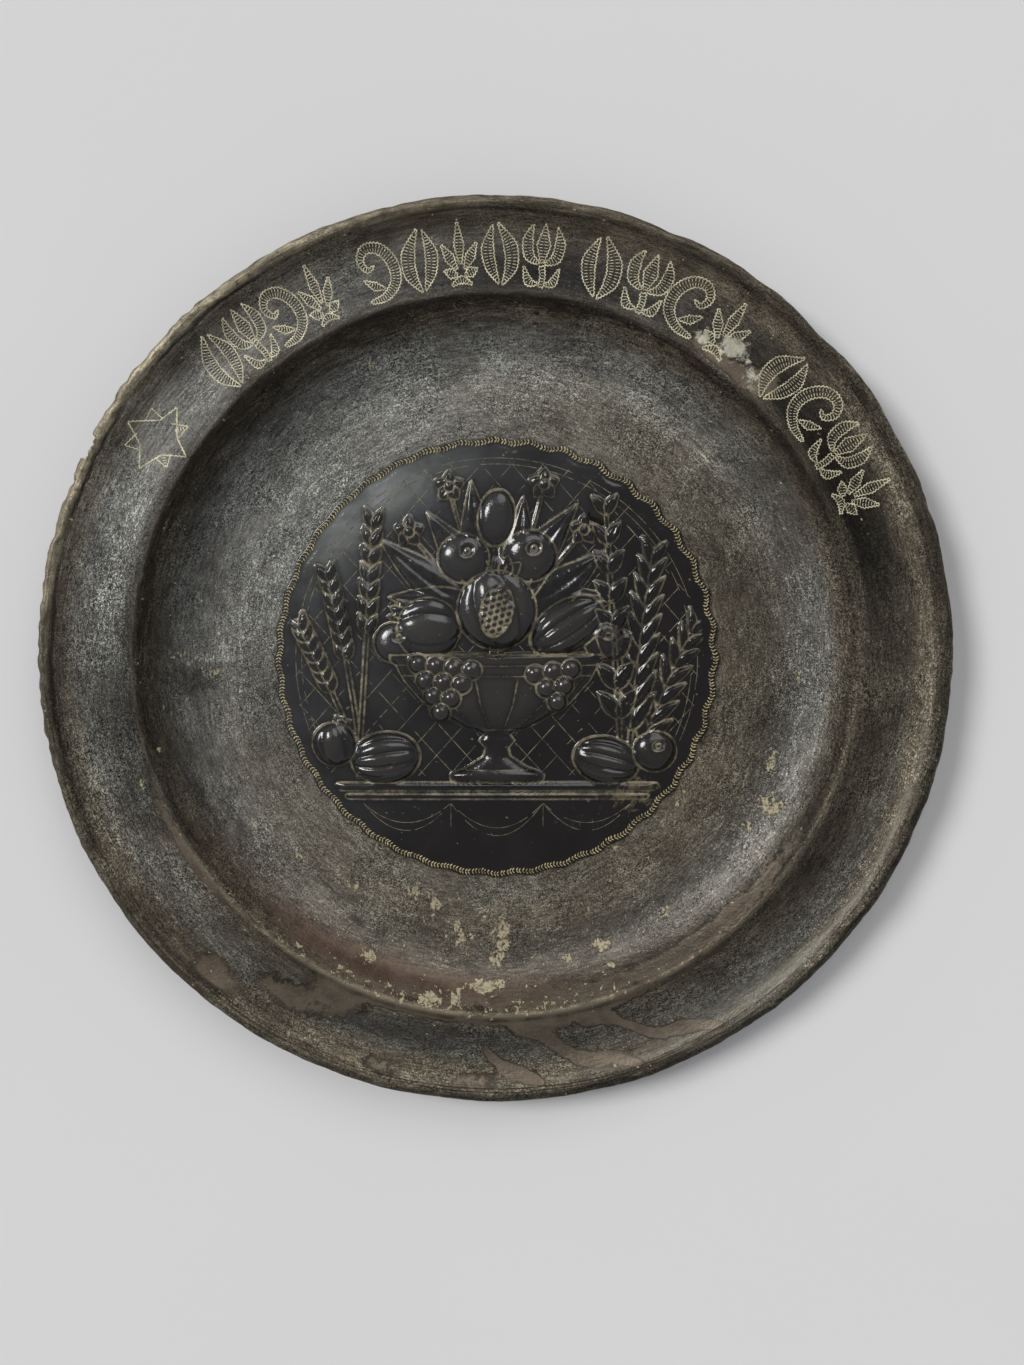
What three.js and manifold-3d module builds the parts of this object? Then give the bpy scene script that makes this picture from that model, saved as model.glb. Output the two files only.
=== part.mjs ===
// Pewter festival charger: a broad dish with a hand-dressed rim, and a repoussé medallion soldered to
// the middle of its well. Millimetres, +Z up. The origin is the centre of the flat underside.
import * as THREE from 'three';
import { mergeVertices } from 'three/addons/utils/BufferGeometryUtils.js';
import Module from 'manifold-3d';

const wasm = await Module();
wasm.setup();

// Driving dimensions of the dish
const METAL = 2; // thickness of the pewter
const WELL_RADIUS = 112; // flat floor, out to the foot of the curved wall
const WALL_WIDTH = 39.2; // from the foot of the wall out to the ridge
const WALL_RISE = 17.5;
const WALL_POWER = 2.1; // 1 is a cone, and more curls the wall up towards the ridge
const RIM_WIDTH = 38.8; // from the ridge out to the edge
const TROUGH_DEPTH = 2.4; // how far the rim dips between the ridge and the lip
const LIP_RISE = 3; // height of the lip above the ridge
const HEM_FOLD = 0.25; // space left inside the rolled edge, above and below its middle
const HEM_SPREAD = 0.75; // how far hammering spread the rolled edge, inwards and outwards
const CHIP_ANGLE = 151.5; // degrees, where a piece of the edge has broken away
const CHIP_LENGTH = 12;
const CHIP_DEPTH = 4;

// How far the rim's edge strays from a true circle, in plan and in height
const FLATTENED_SIDE = 1.2;
const SWOLLEN_SIDE = 1;
const RUFFLE = 0.55;
const RUFFLES = 20;
const TWIST = 0.5;

// Driving dimensions of the medallion and its seam
const BARE_FLOOR = 17.5; // from the waved edge of the sheet, at its mean, to the foot of the wall
const SCALLOPS = 40;
const SCALLOP_DEPTH = 1;
const SHEET = 0.75; // thickness of the medallion's sheet
const SOLDER = 0.5; // height of the seam between the well and the sheet
const SEAM_WIDTH = 6;
const SEAM_SETBACK = 2; // from the inmost point of the waved edge to the seam

// Facets
const SEGMENTS = 112;
const WALL_STEPS = 5;
const RIM_STEPS = 6;
const HEM_STEPS = 6;
const POINTS_PER_SCALLOP = 5;
const SEAM_STEPS = 36;
const LAST_RING = 0.84; // share of the way across the wall or rim at the ring beside its end
const HEM_MOUTH = -155; // degrees round the hem's section, where its metal meets the underside

// Where the main circles and levels lie
const RIDGE_RADIUS = WELL_RADIUS + WALL_WIDTH;
const OUTER_RADIUS = RIDGE_RADIUS + RIM_WIDTH;
const HEM_HALF_HEIGHT = METAL + HEM_FOLD;
const HEM_HALF_WIDTH = HEM_HALF_HEIGHT + HEM_SPREAD;
const LIP_RUN = RIM_WIDTH - HEM_HALF_WIDTH;
const LIP_RADIUS = RIDGE_RADIUS + LIP_RUN;
const RIDGE_HEIGHT = METAL + WALL_RISE;
const LIP_HEIGHT = RIDGE_HEIGHT + LIP_RISE;
const MEDALLION_RADIUS = WELL_RADIUS - BARE_FLOOR;
const SHEET_BOTTOM = METAL + SOLDER;
const SHEET_TOP = SHEET_BOTTOM + SHEET;

const rad = THREE.MathUtils.degToRad;

// Geometry to solid and back, for the joins and cuts

function closed(geometry) {
  const bare = geometry.clone();
  bare.deleteAttribute('normal');
  bare.deleteAttribute('uv');
  const merged = mergeVertices(bare, 1e-4);
  const corners = merged.index.array;
  const kept = [];
  for (let i = 0; i < corners.length; i += 3) {
    const [a, b, c] = corners.slice(i, i + 3);
    if (a !== b && b !== c && c !== a) kept.push(a, b, c);
  }
  merged.setIndex(kept);
  return merged;
}

function toSolid(geometry) {
  const shape = closed(geometry);
  const mesh = new wasm.Mesh({
    numProp: 3,
    vertProperties: new Float32Array(shape.attributes.position.array),
    triVerts: new Uint32Array(shape.index.array),
  });
  return new wasm.Manifold(mesh);
}

function toGeometry(solid) {
  const mesh = solid.getMesh();
  const geometry = new THREE.BufferGeometry();
  geometry.setAttribute('position', new THREE.BufferAttribute(mesh.vertProperties, 3));
  geometry.setIndex(new THREE.BufferAttribute(mesh.triVerts, 1));
  geometry.computeVertexNormals();
  return geometry;
}

function join(solids) {
  return solids.reduce((whole, piece) => whole.add(piece));
}

// The dish

function wallHeight(across) {
  return METAL + WALL_RISE * across ** WALL_POWER;
}

function rimHeight(across) {
  return RIDGE_HEIGHT - TROUGH_DEPTH * Math.sin(Math.PI * across) + LIP_RISE * across ** 3;
}

// A point of the upper surface, and the slope there, for a share of the way across the wall or rim
function wallPoint(across) {
  const slope = (WALL_RISE * WALL_POWER * across ** (WALL_POWER - 1)) / WALL_WIDTH;
  return { at: new THREE.Vector2(WELL_RADIUS + WALL_WIDTH * across, wallHeight(across)), slope };
}

function rimPoint(across) {
  const fall = Math.PI * TROUGH_DEPTH * Math.cos(Math.PI * across);
  const slope = (3 * LIP_RISE * across ** 2 - fall) / LIP_RUN;
  return { at: new THREE.Vector2(RIDGE_RADIUS + LIP_RUN * across, rimHeight(across)), slope };
}

// The matching point of the underside, one thickness of metal away, square to the surface
function below({ at, slope }) {
  const tilt = Math.atan(slope);
  return new THREE.Vector2(at.x + METAL * Math.sin(tilt), at.y - METAL * Math.cos(tilt));
}

// Under the ridge the two undersides meet in a mitre
function belowRidge() {
  const wallTilt = Math.atan(wallPoint(1).slope);
  const rimTilt = Math.atan(rimPoint(0).slope);
  const middle = (wallTilt + rimTilt) / 2;
  const reach = METAL / Math.cos((wallTilt - rimTilt) / 2);
  return new THREE.Vector2(RIDGE_RADIUS + reach * Math.sin(middle), RIDGE_HEIGHT - reach * Math.cos(middle));
}

function steps(count, first, last) {
  return Array.from({ length: count + 1 }, (_, i) => first + ((last - first) * i) / count);
}

function dishProfile() {
  const hem = steps(HEM_STEPS, rad(HEM_MOUTH), rad(90)).map((turn) => new THREE.Vector2(
    LIP_RADIUS + HEM_HALF_WIDTH * Math.cos(turn),
    LIP_HEIGHT + HEM_HALF_HEIGHT * (Math.sin(turn) - 1)));
  const hemRoot = 1 - (2 * HEM_HALF_WIDTH) / LIP_RUN;
  return [
    new THREE.Vector2(0, 0),
    ...steps(WALL_STEPS - 1, 0, LAST_RING).map((across) => below(wallPoint(across))),
    belowRidge(),
    ...steps(RIM_STEPS - 2, 1 - LAST_RING, hemRoot).map((across) => below(rimPoint(across))),
    ...hem,
    ...steps(RIM_STEPS - 1, LAST_RING, 0).map((across) => rimPoint(across).at),
    ...steps(WALL_STEPS - 1, LAST_RING, 0).map((across) => wallPoint(across).at),
    new THREE.Vector2(0, METAL),
  ];
}

// 1 at an angle, falling to nothing at about twice the given half width, all in degrees
function swell(angle, centre, halfWidth) {
  const away = THREE.MathUtils.euclideanModulo(angle - centre + 180, 360) - 180;
  return Math.exp(-((away / halfWidth) ** 2));
}

function edgeShift(angle) {
  const ruffled = 0.35 + 0.65 * swell(angle, 48, 50);
  return SWOLLEN_SIDE * swell(angle, 212, 30) - FLATTENED_SIDE * swell(angle, 45, 42)
    + RUFFLE * ruffled * Math.sin(rad(RUFFLES * angle));
}

function edgeLift(angle) {
  const ruffled = 0.35 + 0.65 * swell(angle, 48, 50);
  return TWIST * Math.sin(rad(2 * angle + 70)) + RUFFLE * ruffled * Math.sin(rad(RUFFLES * angle + 60));
}

function dressByHand(geometry) {
  const position = geometry.attributes.position;
  for (let i = 0; i < position.count; i += 1) {
    const x = position.getX(i);
    const y = position.getY(i);
    const radius = Math.hypot(x, y);
    const share = THREE.MathUtils.smoothstep(radius, RIDGE_RADIUS, LIP_RADIUS);
    if (share > 0) {
      const angle = THREE.MathUtils.radToDeg(Math.atan2(y, x));
      const stretch = 1 + (share * edgeShift(angle)) / radius;
      position.setXYZ(i, x * stretch, y * stretch, position.getZ(i) + share * edgeLift(angle));
    }
  }
  return geometry;
}

// The gap that the broken piece left in the rolled edge, as a ragged plug to cut with
function chipPlug() {
  const half = CHIP_LENGTH / 2;
  const outline = new THREE.Shape([
    new THREE.Vector2(CHIP_DEPTH, -half),
    new THREE.Vector2(-0.7 * CHIP_DEPTH, -0.86 * half),
    new THREE.Vector2(-0.95 * CHIP_DEPTH, -0.2 * half),
    new THREE.Vector2(-CHIP_DEPTH, 0.3 * half),
    new THREE.Vector2(-0.75 * CHIP_DEPTH, 0.8 * half),
    new THREE.Vector2(CHIP_DEPTH, half),
  ]);
  const plug = new THREE.ExtrudeGeometry(outline, { depth: 2 * LIP_HEIGHT, bevelEnabled: false });
  plug.translate(OUTER_RADIUS, 0, 0);
  plug.rotateZ(rad(CHIP_ANGLE));
  return plug;
}

function dish() {
  const turned = new THREE.LatheGeometry(dishProfile(), SEGMENTS);
  turned.rotateX(Math.PI / 2);
  return toGeometry(toSolid(dressByHand(turned)).subtract(toSolid(chipPlug())));
}

// The medallion. Its picture is drawn for a sheet of this radius, in millimetres from the centre of the
// sheet, and grows or shrinks with the sheet. Heights are above the face of the sheet.
const DRAWN_RADIUS = 94.5;
const HOLLOW_FROM = 9; // a form this wide or wider is hollow behind, one sheet thinner all round

function onSheet(shape) {
  const scale = MEDALLION_RADIUS / DRAWN_RADIUS;
  shape.scale(scale, scale, 1);
  shape.translate(0, 0, SHEET_TOP);
  return toSolid(shape);
}

// An oval boss such as a fruit: half length and half width in plan, turned by an angle in degrees
function boss({ x, y, length, width = length, height, turn = 0, sides = 10, lift = 0 }) {
  const shape = new THREE.SphereGeometry(1, sides, Math.ceil(sides / 2));
  shape.rotateX(Math.PI / 2);
  shape.scale(length, width, height);
  shape.rotateZ(rad(turn));
  shape.translate(x, y, lift);
  return onSheet(shape);
}

function thinner(fruit) {
  const { length, width = length, height } = fruit;
  return { ...fruit, length: length - SHEET, width: width - SHEET, height: height - SHEET, sides: 7 };
}

// A keeled leaf from its stalk end, pointing along a turn in degrees, with a sideways bend
function leaf(x, y, { length, width, height, turn, bend = 0, rings = 3 }) {
  const profile = steps(rings, 0, 1).map(
    (along) => new THREE.Vector2((width / 2) * Math.sin(Math.PI * along ** 0.8), length * along));
  profile[0].x = 0;
  profile[rings].x = 0;
  const shape = new THREE.LatheGeometry(profile, 4);
  shape.scale(1, 1, (2 * height) / width);
  const position = shape.attributes.position;
  for (let i = 0; i < position.count; i += 1) {
    const along = position.getY(i) / length;
    position.setX(i, position.getX(i) + bend * Math.sin(Math.PI * along));
  }
  shape.rotateZ(rad(turn - 90));
  shape.translate(x, y, 0);
  return onSheet(shape);
}

// A stalk along a bent line, a flattened rod, with pairs of leaves that lean out from it
function sprig(from, through, to, { thickness, pairs, start, spacing, lean, bend = 0, size, ...blade }) {
  const path = new THREE.QuadraticBezierCurve3(
    new THREE.Vector3(...from, 0), new THREE.Vector3(...through, 0), new THREE.Vector3(...to, 0));
  const section = new THREE.Shape();
  section.absarc(0, 0, thickness / 2, 0, 2 * Math.PI);
  const rod = new THREE.ExtrudeGeometry(section, {
    extrudePath: path, steps: 6, curveSegments: 2, bevelEnabled: false });
  const leaves = [];
  for (let pair = 0; pair < pairs; pair += 1) {
    const along = start + spacing * pair;
    const place = path.getPoint(along);
    const heading = path.getTangent(along);
    const turn = THREE.MathUtils.radToDeg(Math.atan2(heading.y, heading.x));
    const length = blade.length * size(along);
    const width = blade.width * size(along);
    for (const side of [1, -1]) {
      const set = { length, width, height: blade.height, turn: turn + side * lean, bend: -side * bend };
      leaves.push(leaf(place.x, place.y, set));
    }
  }
  return [onSheet(rod), ...leaves];
}

const ALIKE = () => 1;
const SHORTER = (along) => 1.1 - 0.4 * along;
const WHEAT = {
  thickness: 1.8, pairs: 7, start: 0.56, spacing: 0.065, lean: 24, size: ALIKE,
  length: 10, width: 4.4, height: 2.6 };
const PALM = {
  thickness: 2, pairs: 9, start: 0.2, spacing: 0.095, lean: 26, bend: 0.8, size: SHORTER,
  length: 20, width: 6, height: 2.3 };
const MYRTLE = {
  thickness: 2, pairs: 8, start: 0.2, spacing: 0.109, lean: 34, bend: 0.8, size: SHORTER,
  length: 15, width: 7, height: 2.3 };
const WILLOW = {
  thickness: 2, pairs: 7, start: 0.2, spacing: 0.127, lean: 30, bend: 0.8, size: SHORTER,
  length: 17, width: 5.4, height: 2.3 };

// The bowl's half outline, from its foot up to its mouth: distance from its axis, and level
const BOWL = [[20, -52], [20.5, -49], [13, -46], [6, -41.5], [5, -37.5], [7.8, -34.5], [5.6, -31.5],
  [17, -27], [31, -18.5], [40, -8], [43, -2], [45.5, 0.5], [45.5, 3]];
const BOWL_HEIGHT = 6.2;

function bowl(inset = 0, sides = 20) {
  const middle = BOWL.map(([radius, level]) => new THREE.Vector2(Math.max(radius - inset, 0.5), level));
  const foot = BOWL[0][1] + inset;
  const mouth = BOWL.at(-1)[1] - inset;
  const inside = middle.filter(({ y }) => y > foot && y < mouth);
  const first = new THREE.Vector2(BOWL[0][0] - inset, foot);
  const last = new THREE.Vector2(BOWL.at(-1)[0] - inset, mouth);
  const axis = [foot, mouth].map((level) => new THREE.Vector2(0, level));
  const shape = new THREE.LatheGeometry([axis[0], first, ...inside, last, axis[1]], sides);
  const widest = Math.max(...BOWL.map(([radius]) => radius));
  const position = shape.attributes.position;
  for (let i = 0; i < position.count; i += 1) {
    const radius = Math.hypot(position.getX(i), position.getZ(i));
    const flatten = radius > 0 ? (BOWL_HEIGHT - inset) / Math.sqrt(widest * radius) : 0;
    position.setZ(i, position.getZ(i) * flatten);
  }
  return onSheet(shape);
}

const POMEGRANATES = [
  { x: 0, y: 22, length: 17, height: 6.8, crown: 78 },
  { x: -29, y: 14, length: 13.5, height: 5.8, crown: 150 },
  { x: -70, y: -36, length: 9.5, height: 4.8, crown: 70 },
];

const FRUIT = [
  { x: -14, y: 44, length: 11, height: 5 },
  { x: 14, y: 45, length: 11.5, height: 5.2 },
  { x: 0, y: 61, length: 12, width: 8, height: 4.6, turn: 84 },
  { x: -43, y: 8, length: 9.5, width: 9, height: 4.4 },
  { x: 46, y: 9, length: 9, height: 4.4 },
  { x: 30, y: 15, length: 17.5, width: 11, height: 5.8, turn: 34 },
  { x: -48, y: -42, length: 15, width: 11.5, height: 5.6, turn: 8 },
  { x: 47, y: -43, length: 14.5, width: 10.5, height: 5.6, turn: -14 },
  { x: 68, y: -39, length: 9.5, height: 4.4 },
];

// The pointed sepals that stand on a pomegranate
function crown({ x, y, length, height, crown: turn }) {
  const root = new THREE.Vector2(0.8 * length, 0).rotateAround(new THREE.Vector2(), rad(turn));
  const sepal = { length: 0.62 * length, width: 0.36 * length, height: 0.45 * height };
  return [-34, 0, 34].map((spread) => leaf(x + root.x, y + root.y, { ...sepal, turn: turn + spread }));
}

// Berries that hang over the bowl in rows which shorten towards the tip
function grapes(x, y, { rows, berry, turn }) {
  const berries = [];
  for (let row = 0; row < rows; row += 1) {
    const across = rows - row;
    for (let i = 0; i < across; i += 1) {
      const place = new THREE.Vector2((i - (across - 1) / 2) * 1.75 * berry, -1.5 * berry * row);
      place.rotateAround(new THREE.Vector2(), rad(turn));
      const height = berry - 0.3;
      berries.push(boss({ x: x + place.x, y: y + place.y, length: berry, height, sides: 7, lift: 3.2 }));
    }
  }
  return berries;
}

function fanOfLeaves() {
  const turns = steps(7, 12, 166);
  return turns.map((turn, i) => {
    const outermost = i === 0 || i === turns.length - 1;
    const length = 62 - 6 * (i % 2) - (outermost ? 8 : 0);
    return leaf(0, 16, { length, width: 17, height: 2.8, turn, bend: i % 2 ? 2 : -2, rings: 6 });
  });
}

// The moulded ledge that everything stands on: a heavy rib over a lighter one
function ledge() {
  return [{ y: -54.6, width: 3.6, height: 1.6 }, { y: -59, width: 2.4, height: 0.9 }].map((rib) => {
    const halfLength = Math.sqrt((DRAWN_RADIUS - 7) ** 2 - rib.y ** 2);
    const shape = new THREE.CylinderGeometry(1, 1, 2 * halfLength, 8);
    shape.rotateZ(Math.PI / 2);
    shape.scale(1, rib.width / 2, rib.height);
    shape.translate(0, rib.y, 0);
    return onSheet(shape);
  });
}

function harvest() {
  return join([
    ...fanOfLeaves(),
    bowl(),
    ...POMEGRANATES.map(boss),
    ...POMEGRANATES.flatMap(crown),
    ...FRUIT.map(boss),
    ...grapes(-22, -2, { rows: 4, berry: 4.4, turn: -6 }),
    ...grapes(24, -4, { rows: 3, berry: 4.4, turn: 8 }),
    ...sprig([-56, -50], [-68, -18], [-84, 16], WHEAT),
    ...sprig([-58, -50], [-62, -4], [-72, 38], WHEAT),
    ...sprig([-60, -50], [-56, 4], [-52, 62], WHEAT),
    ...sprig([58, -50], [70, -14], [84, 14], WILLOW),
    ...sprig([56, -50], [60, 0], [66, 44], PALM),
    ...sprig([54, -48], [50, 10], [46, 66], MYRTLE),
    ...ledge(),
  ]);
}

// The picture is beaten up from behind, so its larger forms are hollow
function hollows() {
  const wide = [...POMEGRANATES, ...FRUIT].filter(({ length }) => length >= HOLLOW_FROM);
  return join([bowl(SHEET, 12), ...wide.map(thinner).map(boss)]);
}

function scallopedSheet() {
  const outline = steps(SCALLOPS * POINTS_PER_SCALLOP, 0, 2 * Math.PI).slice(0, -1).map((turn) => {
    const radius = MEDALLION_RADIUS + SCALLOP_DEPTH * Math.cos(SCALLOPS * turn);
    return new THREE.Vector2(radius * Math.cos(turn), radius * Math.sin(turn));
  });
  const sheet = new THREE.ExtrudeGeometry(new THREE.Shape(outline), { depth: SHEET, bevelEnabled: false });
  sheet.translate(0, 0, SHEET_BOTTOM);
  return toSolid(sheet);
}

function medallion() {
  const width = 2 * MEDALLION_RADIUS;
  const under = new THREE.BoxGeometry(width, width, width);
  under.translate(0, 0, SHEET_BOTTOM - width / 2);
  return toGeometry(scallopedSheet().add(harvest()).subtract(hollows()).subtract(toSolid(under)));
}

function solderSeam() {
  const outer = MEDALLION_RADIUS - SCALLOP_DEPTH - SEAM_SETBACK;
  const ring = new THREE.Shape();
  ring.absarc(0, 0, outer, 0, 2 * Math.PI);
  const hole = new THREE.Path();
  hole.absarc(0, 0, outer - SEAM_WIDTH, 0, 2 * Math.PI, true);
  ring.holes.push(hole);
  const seam = new THREE.ExtrudeGeometry(ring, {
    depth: SOLDER, curveSegments: SEAM_STEPS, bevelEnabled: false });
  seam.translate(0, 0, METAL);
  return closed(seam);
}

// Assembly

function piece(name, geometry, color, roughness, metalness) {
  const mesh = new THREE.Mesh(geometry, new THREE.MeshStandardMaterial({ color, roughness, metalness }));
  mesh.name = name;
  return mesh;
}

const charger = new THREE.Group();
charger.name = 'festival_charger';
charger.add(
  piece('charger_body', dish(), 0x5b5852, 0.5, 0.8),
  piece('solder_seam', solderSeam(), 0x8a7f68, 0.6, 0.7),
  piece('medallion', medallion(), 0x24221f, 0.4, 0.6),
);

export default charger;
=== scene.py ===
import math
import bpy
import numpy as np
from mathutils import Matrix, Vector


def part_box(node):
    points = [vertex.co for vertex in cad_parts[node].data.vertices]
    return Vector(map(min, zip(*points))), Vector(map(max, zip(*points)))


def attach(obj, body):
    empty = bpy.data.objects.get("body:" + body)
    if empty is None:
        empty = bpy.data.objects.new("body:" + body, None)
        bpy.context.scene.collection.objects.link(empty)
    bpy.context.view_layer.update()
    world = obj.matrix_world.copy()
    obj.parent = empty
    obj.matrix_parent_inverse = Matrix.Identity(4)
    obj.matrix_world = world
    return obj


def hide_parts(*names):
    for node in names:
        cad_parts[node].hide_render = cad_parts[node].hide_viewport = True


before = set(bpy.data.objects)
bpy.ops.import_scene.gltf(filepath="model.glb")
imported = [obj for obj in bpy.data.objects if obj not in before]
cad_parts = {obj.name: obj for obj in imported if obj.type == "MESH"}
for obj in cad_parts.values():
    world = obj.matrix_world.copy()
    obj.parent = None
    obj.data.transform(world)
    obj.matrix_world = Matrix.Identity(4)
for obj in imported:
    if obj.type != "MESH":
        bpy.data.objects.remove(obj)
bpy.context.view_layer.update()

MM = 0.001
IMAGE_HEIGHT = 1365

# The studio
FLOOR_REACH = 12.0
HORIZON = (190, 191, 193)
ZENITH = (140, 142, 145)
WINDOW = (150, 47, 20, 2.0)  # azimuth, elevation and spread in degrees, and strength
CEILING = (72, 45, 40, 0.8)

# The dish
METAL = 2.0
WELL_RADIUS = 112.0
WALL_WIDTH = 39.2
WALL_RISE = 17.5
WALL_POWER = 2.1
RIM_WIDTH = 38.8
TROUGH_DEPTH = 2.4
LIP_RISE = 3.0
HEM_HALF_HEIGHT = 2.25
HEM_HALF_WIDTH = 3.0
HEM_MOUTH = -155.0
HEM_CREASE = 0.55
RIDGE_SOFTNESS = 0.55
RIDGE_BEAD = 0.3
RIDGE_BEAD_WIDTH = 1.8
CHIP_ANGLE = 151.5
CHIP_LENGTH = 12.0
CHIP_DEPTH = 3.4
SMEAR = (96.5, 130)
STEPS_ROUND = 700
STEPS_ACROSS_CHIP = 44

RIDGE_RADIUS = WELL_RADIUS + WALL_WIDTH
RIDGE_HEIGHT = METAL + WALL_RISE
LIP_RUN = RIM_WIDTH - HEM_HALF_WIDTH
LIP_RADIUS = RIDGE_RADIUS + LIP_RUN
LIP_HEIGHT = RIDGE_HEIGHT + LIP_RISE
OUTER_RADIUS = RIDGE_RADIUS + RIM_WIDTH

# The medallion
SCALLOPS = 40
SCALLOP_DEPTH = 1.0
BORDER_SETBACK = 1.6
SHEET = 0.75
SHEET_CELLS = 310
TRELLIS_PITCH = 13.0
TRELLIS_REACH = 130.0
CHASED_REACH = 87.0
CHASED_STEP = 0.5
WORN_GAP_SPACING = 22
BORDER_CUTS = 420
sheet_low, sheet_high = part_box("medallion")
SHEET_BOTTOM = sheet_low.z / MM
SHEET_TOP = SHEET_BOTTOM + SHEET
MEDALLION_RADIUS = (sheet_high.x - sheet_low.x) / 2 / MM - SCALLOP_DEPTH


# Numbers

def smoothstep(value, low, high):
    share = np.clip((value - low) / (high - low), 0, 1)
    return share * share * (3 - 2 * share)


def near(value, middle, half_width):
    """1 at the middle, falling to nothing at about twice the half width"""
    return np.exp(-((value - middle) / half_width) ** 2)


def swell(angle, centre, half_width):
    """The same round a circle, all in degrees"""
    return near((angle - centre + 180) % 360 - 180, 0, half_width)


def heading(turn):
    """A unit step towards an angle in degrees"""
    return math.cos(math.radians(turn)), math.sin(math.radians(turn))


def hump(x, y, centre, size):
    return np.exp(-((x - centre[0]) / size[0]) ** 2 - ((y - centre[1]) / size[1]) ** 2)


def ripples(x, y, shortest, longest, seed, count=28):
    """A smooth random field of about unit strength, with features between two lengths"""
    draw = np.random.default_rng(seed)
    total = np.zeros_like(x, dtype=float)
    for _ in range(count):
        length, heading, phase = draw.uniform((shortest, 0, 0), (longest, 2 * np.pi, 2 * np.pi))
        along = x * np.cos(heading) + y * np.sin(heading)
        total += np.sin(2 * np.pi * along / length + phase)
    return total / math.sqrt(count / 2)


# The dish's surface

def true_height(radius):
    """Upper surface of the dish as it was turned, from the well out to the lip"""
    across = np.clip((radius - WELL_RADIUS) / WALL_WIDTH, 0, 1.2)
    wall = METAL + WALL_RISE * across ** WALL_POWER
    across = np.clip((radius - RIDGE_RADIUS) / LIP_RUN, -0.3, 1)
    rim = RIDGE_HEIGHT - TROUGH_DEPTH * np.sin(np.pi * across) + LIP_RISE * across ** 3
    lower = np.minimum(wall, rim)
    return lower - RIDGE_SOFTNESS * np.log1p(np.exp(-np.abs(wall - rim) / RIDGE_SOFTNESS))


def edge_shift(angle):
    """How far hammering moved the edge out from a true circle"""
    ruffled = 0.35 + 0.65 * swell(angle, 48, 50)
    wave = np.sin(np.radians(20 * angle) + 0.8 * np.sin(np.radians(3 * angle)))
    dips = sum(swell(angle, at, width) * depth for at, width, depth in
               ((20, 2.2, 0.7), (33, 2, 0.4), (45, 2.6, 1.1), (56, 2.4, 0.9), (68, 2, 0.5), (80, 2.4, 0.8)))
    return 1.0 * swell(angle, 212, 30) - 1.0 * swell(angle, 45, 42) + 0.4 * ruffled * wave - dips


def edge_lift(angle):
    ruffled = 0.35 + 0.65 * swell(angle, 48, 50)
    wave = np.sin(np.radians(20 * angle + 60) + 0.8 * np.sin(np.radians(3 * angle)))
    return 0.5 * np.sin(np.radians(2 * angle + 70)) + 0.5 * ruffled * wave


def crest_shift(angle):
    """The hammered crest of the lip wanders in shallow arcs that meet in points"""
    pace = 15 + 5 * swell(angle, 50, 45)
    arcs = np.abs(np.sin(np.radians(pace * angle) + 1.1 * np.sin(np.radians(2.3 * angle + 40))))
    return 1.5 * (0.55 - arcs) * (0.7 + 0.5 * swell(angle, 60, 70))


def folded(angle):
    """How open the fold inside the rolled edge is: it closes up here and there"""
    closed = 0.5 + 0.5 * np.sin(np.radians(11 * angle) + 1.5 * np.sin(np.radians(4.3 * angle + 80)))
    return (0.2 + 0.8 * swell(angle, 140, 78)) * (1 - 0.75 * closed ** 3)


def fold_radius(angle):
    """Where the fold lies, jagged where the hem is crumpled"""
    jag = (np.sin(np.radians(43 * angle)) + 0.7 * np.sin(np.radians(97 * angle + 40))
           + 0.5 * np.sin(np.radians(171 * angle)))
    return LIP_RADIUS - 2.6 - 0.5 * crest_shift(angle) + 0.26 * jag * swell(angle, 155, 45)


def dressed(radius, angle, height):
    """Moves points of the turned dish to where the hammer and later knocks left them"""
    x0, y0 = radius * np.cos(np.radians(angle)), radius * np.sin(np.radians(angle))
    share = smoothstep(radius, RIDGE_RADIUS, LIP_RADIUS)
    crest = near(radius, LIP_RADIUS, 2.4)
    ridge = near(radius, RIDGE_RADIUS, 7)
    moved = radius + share * edge_shift(angle) + crest * crest_shift(angle)
    moved = moved - ridge * 1.2 * swell(angle, 53, 9)
    hem = smoothstep(radius, LIP_RADIUS - 2.5, LIP_RADIUS)
    moved = moved + hem * 0.16 * ripples(x0, y0, 4, 14, 8) * (0.5 + 1.3 * swell(angle, 164, 34))
    notches = swell(angle, 156.5, 0.7) + 0.8 * swell(angle, 163, 0.8) + 0.6 * swell(angle, 145, 0.6)
    moved = moved - hem * 1.3 * notches
    x, y = moved * np.cos(np.radians(angle)), moved * np.sin(np.radians(angle))
    bare = smoothstep(radius, 97, 112)
    formed = smoothstep(radius, 108, 135)
    z = height + share * edge_lift(angle)
    bead = RIDGE_BEAD * near(radius, RIDGE_RADIUS + 1, RIDGE_BEAD_WIDTH)
    z = z + bead * (height > RIDGE_HEIGHT - 3) * swell(angle, 275, 80)
    z = z + bare * 0.05 * ripples(x0, y0, 14, 40, 5) + formed * 0.09 * ripples(x0, y0, 16, 60, 6)
    fold = near(radius, fold_radius(angle), 0.75)
    z = z - HEM_CREASE * folded(angle) * fold * (height > LIP_HEIGHT - 2)
    z = z + hem * 0.09 * ripples(x0, y0, 4, 12, 9) * (0.4 + 2.2 * swell(angle, 162, 36))
    z = z + 1.2 * bare * hump(x0, y0, (-123, -0.5), (13, 2.4))
    z = z + 0.35 * bare * hump(x0, y0, (-112, 9), (9, 5)) - 0.5 * ridge * swell(angle, 50, 5)
    return x, y, z


# Meshes

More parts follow.
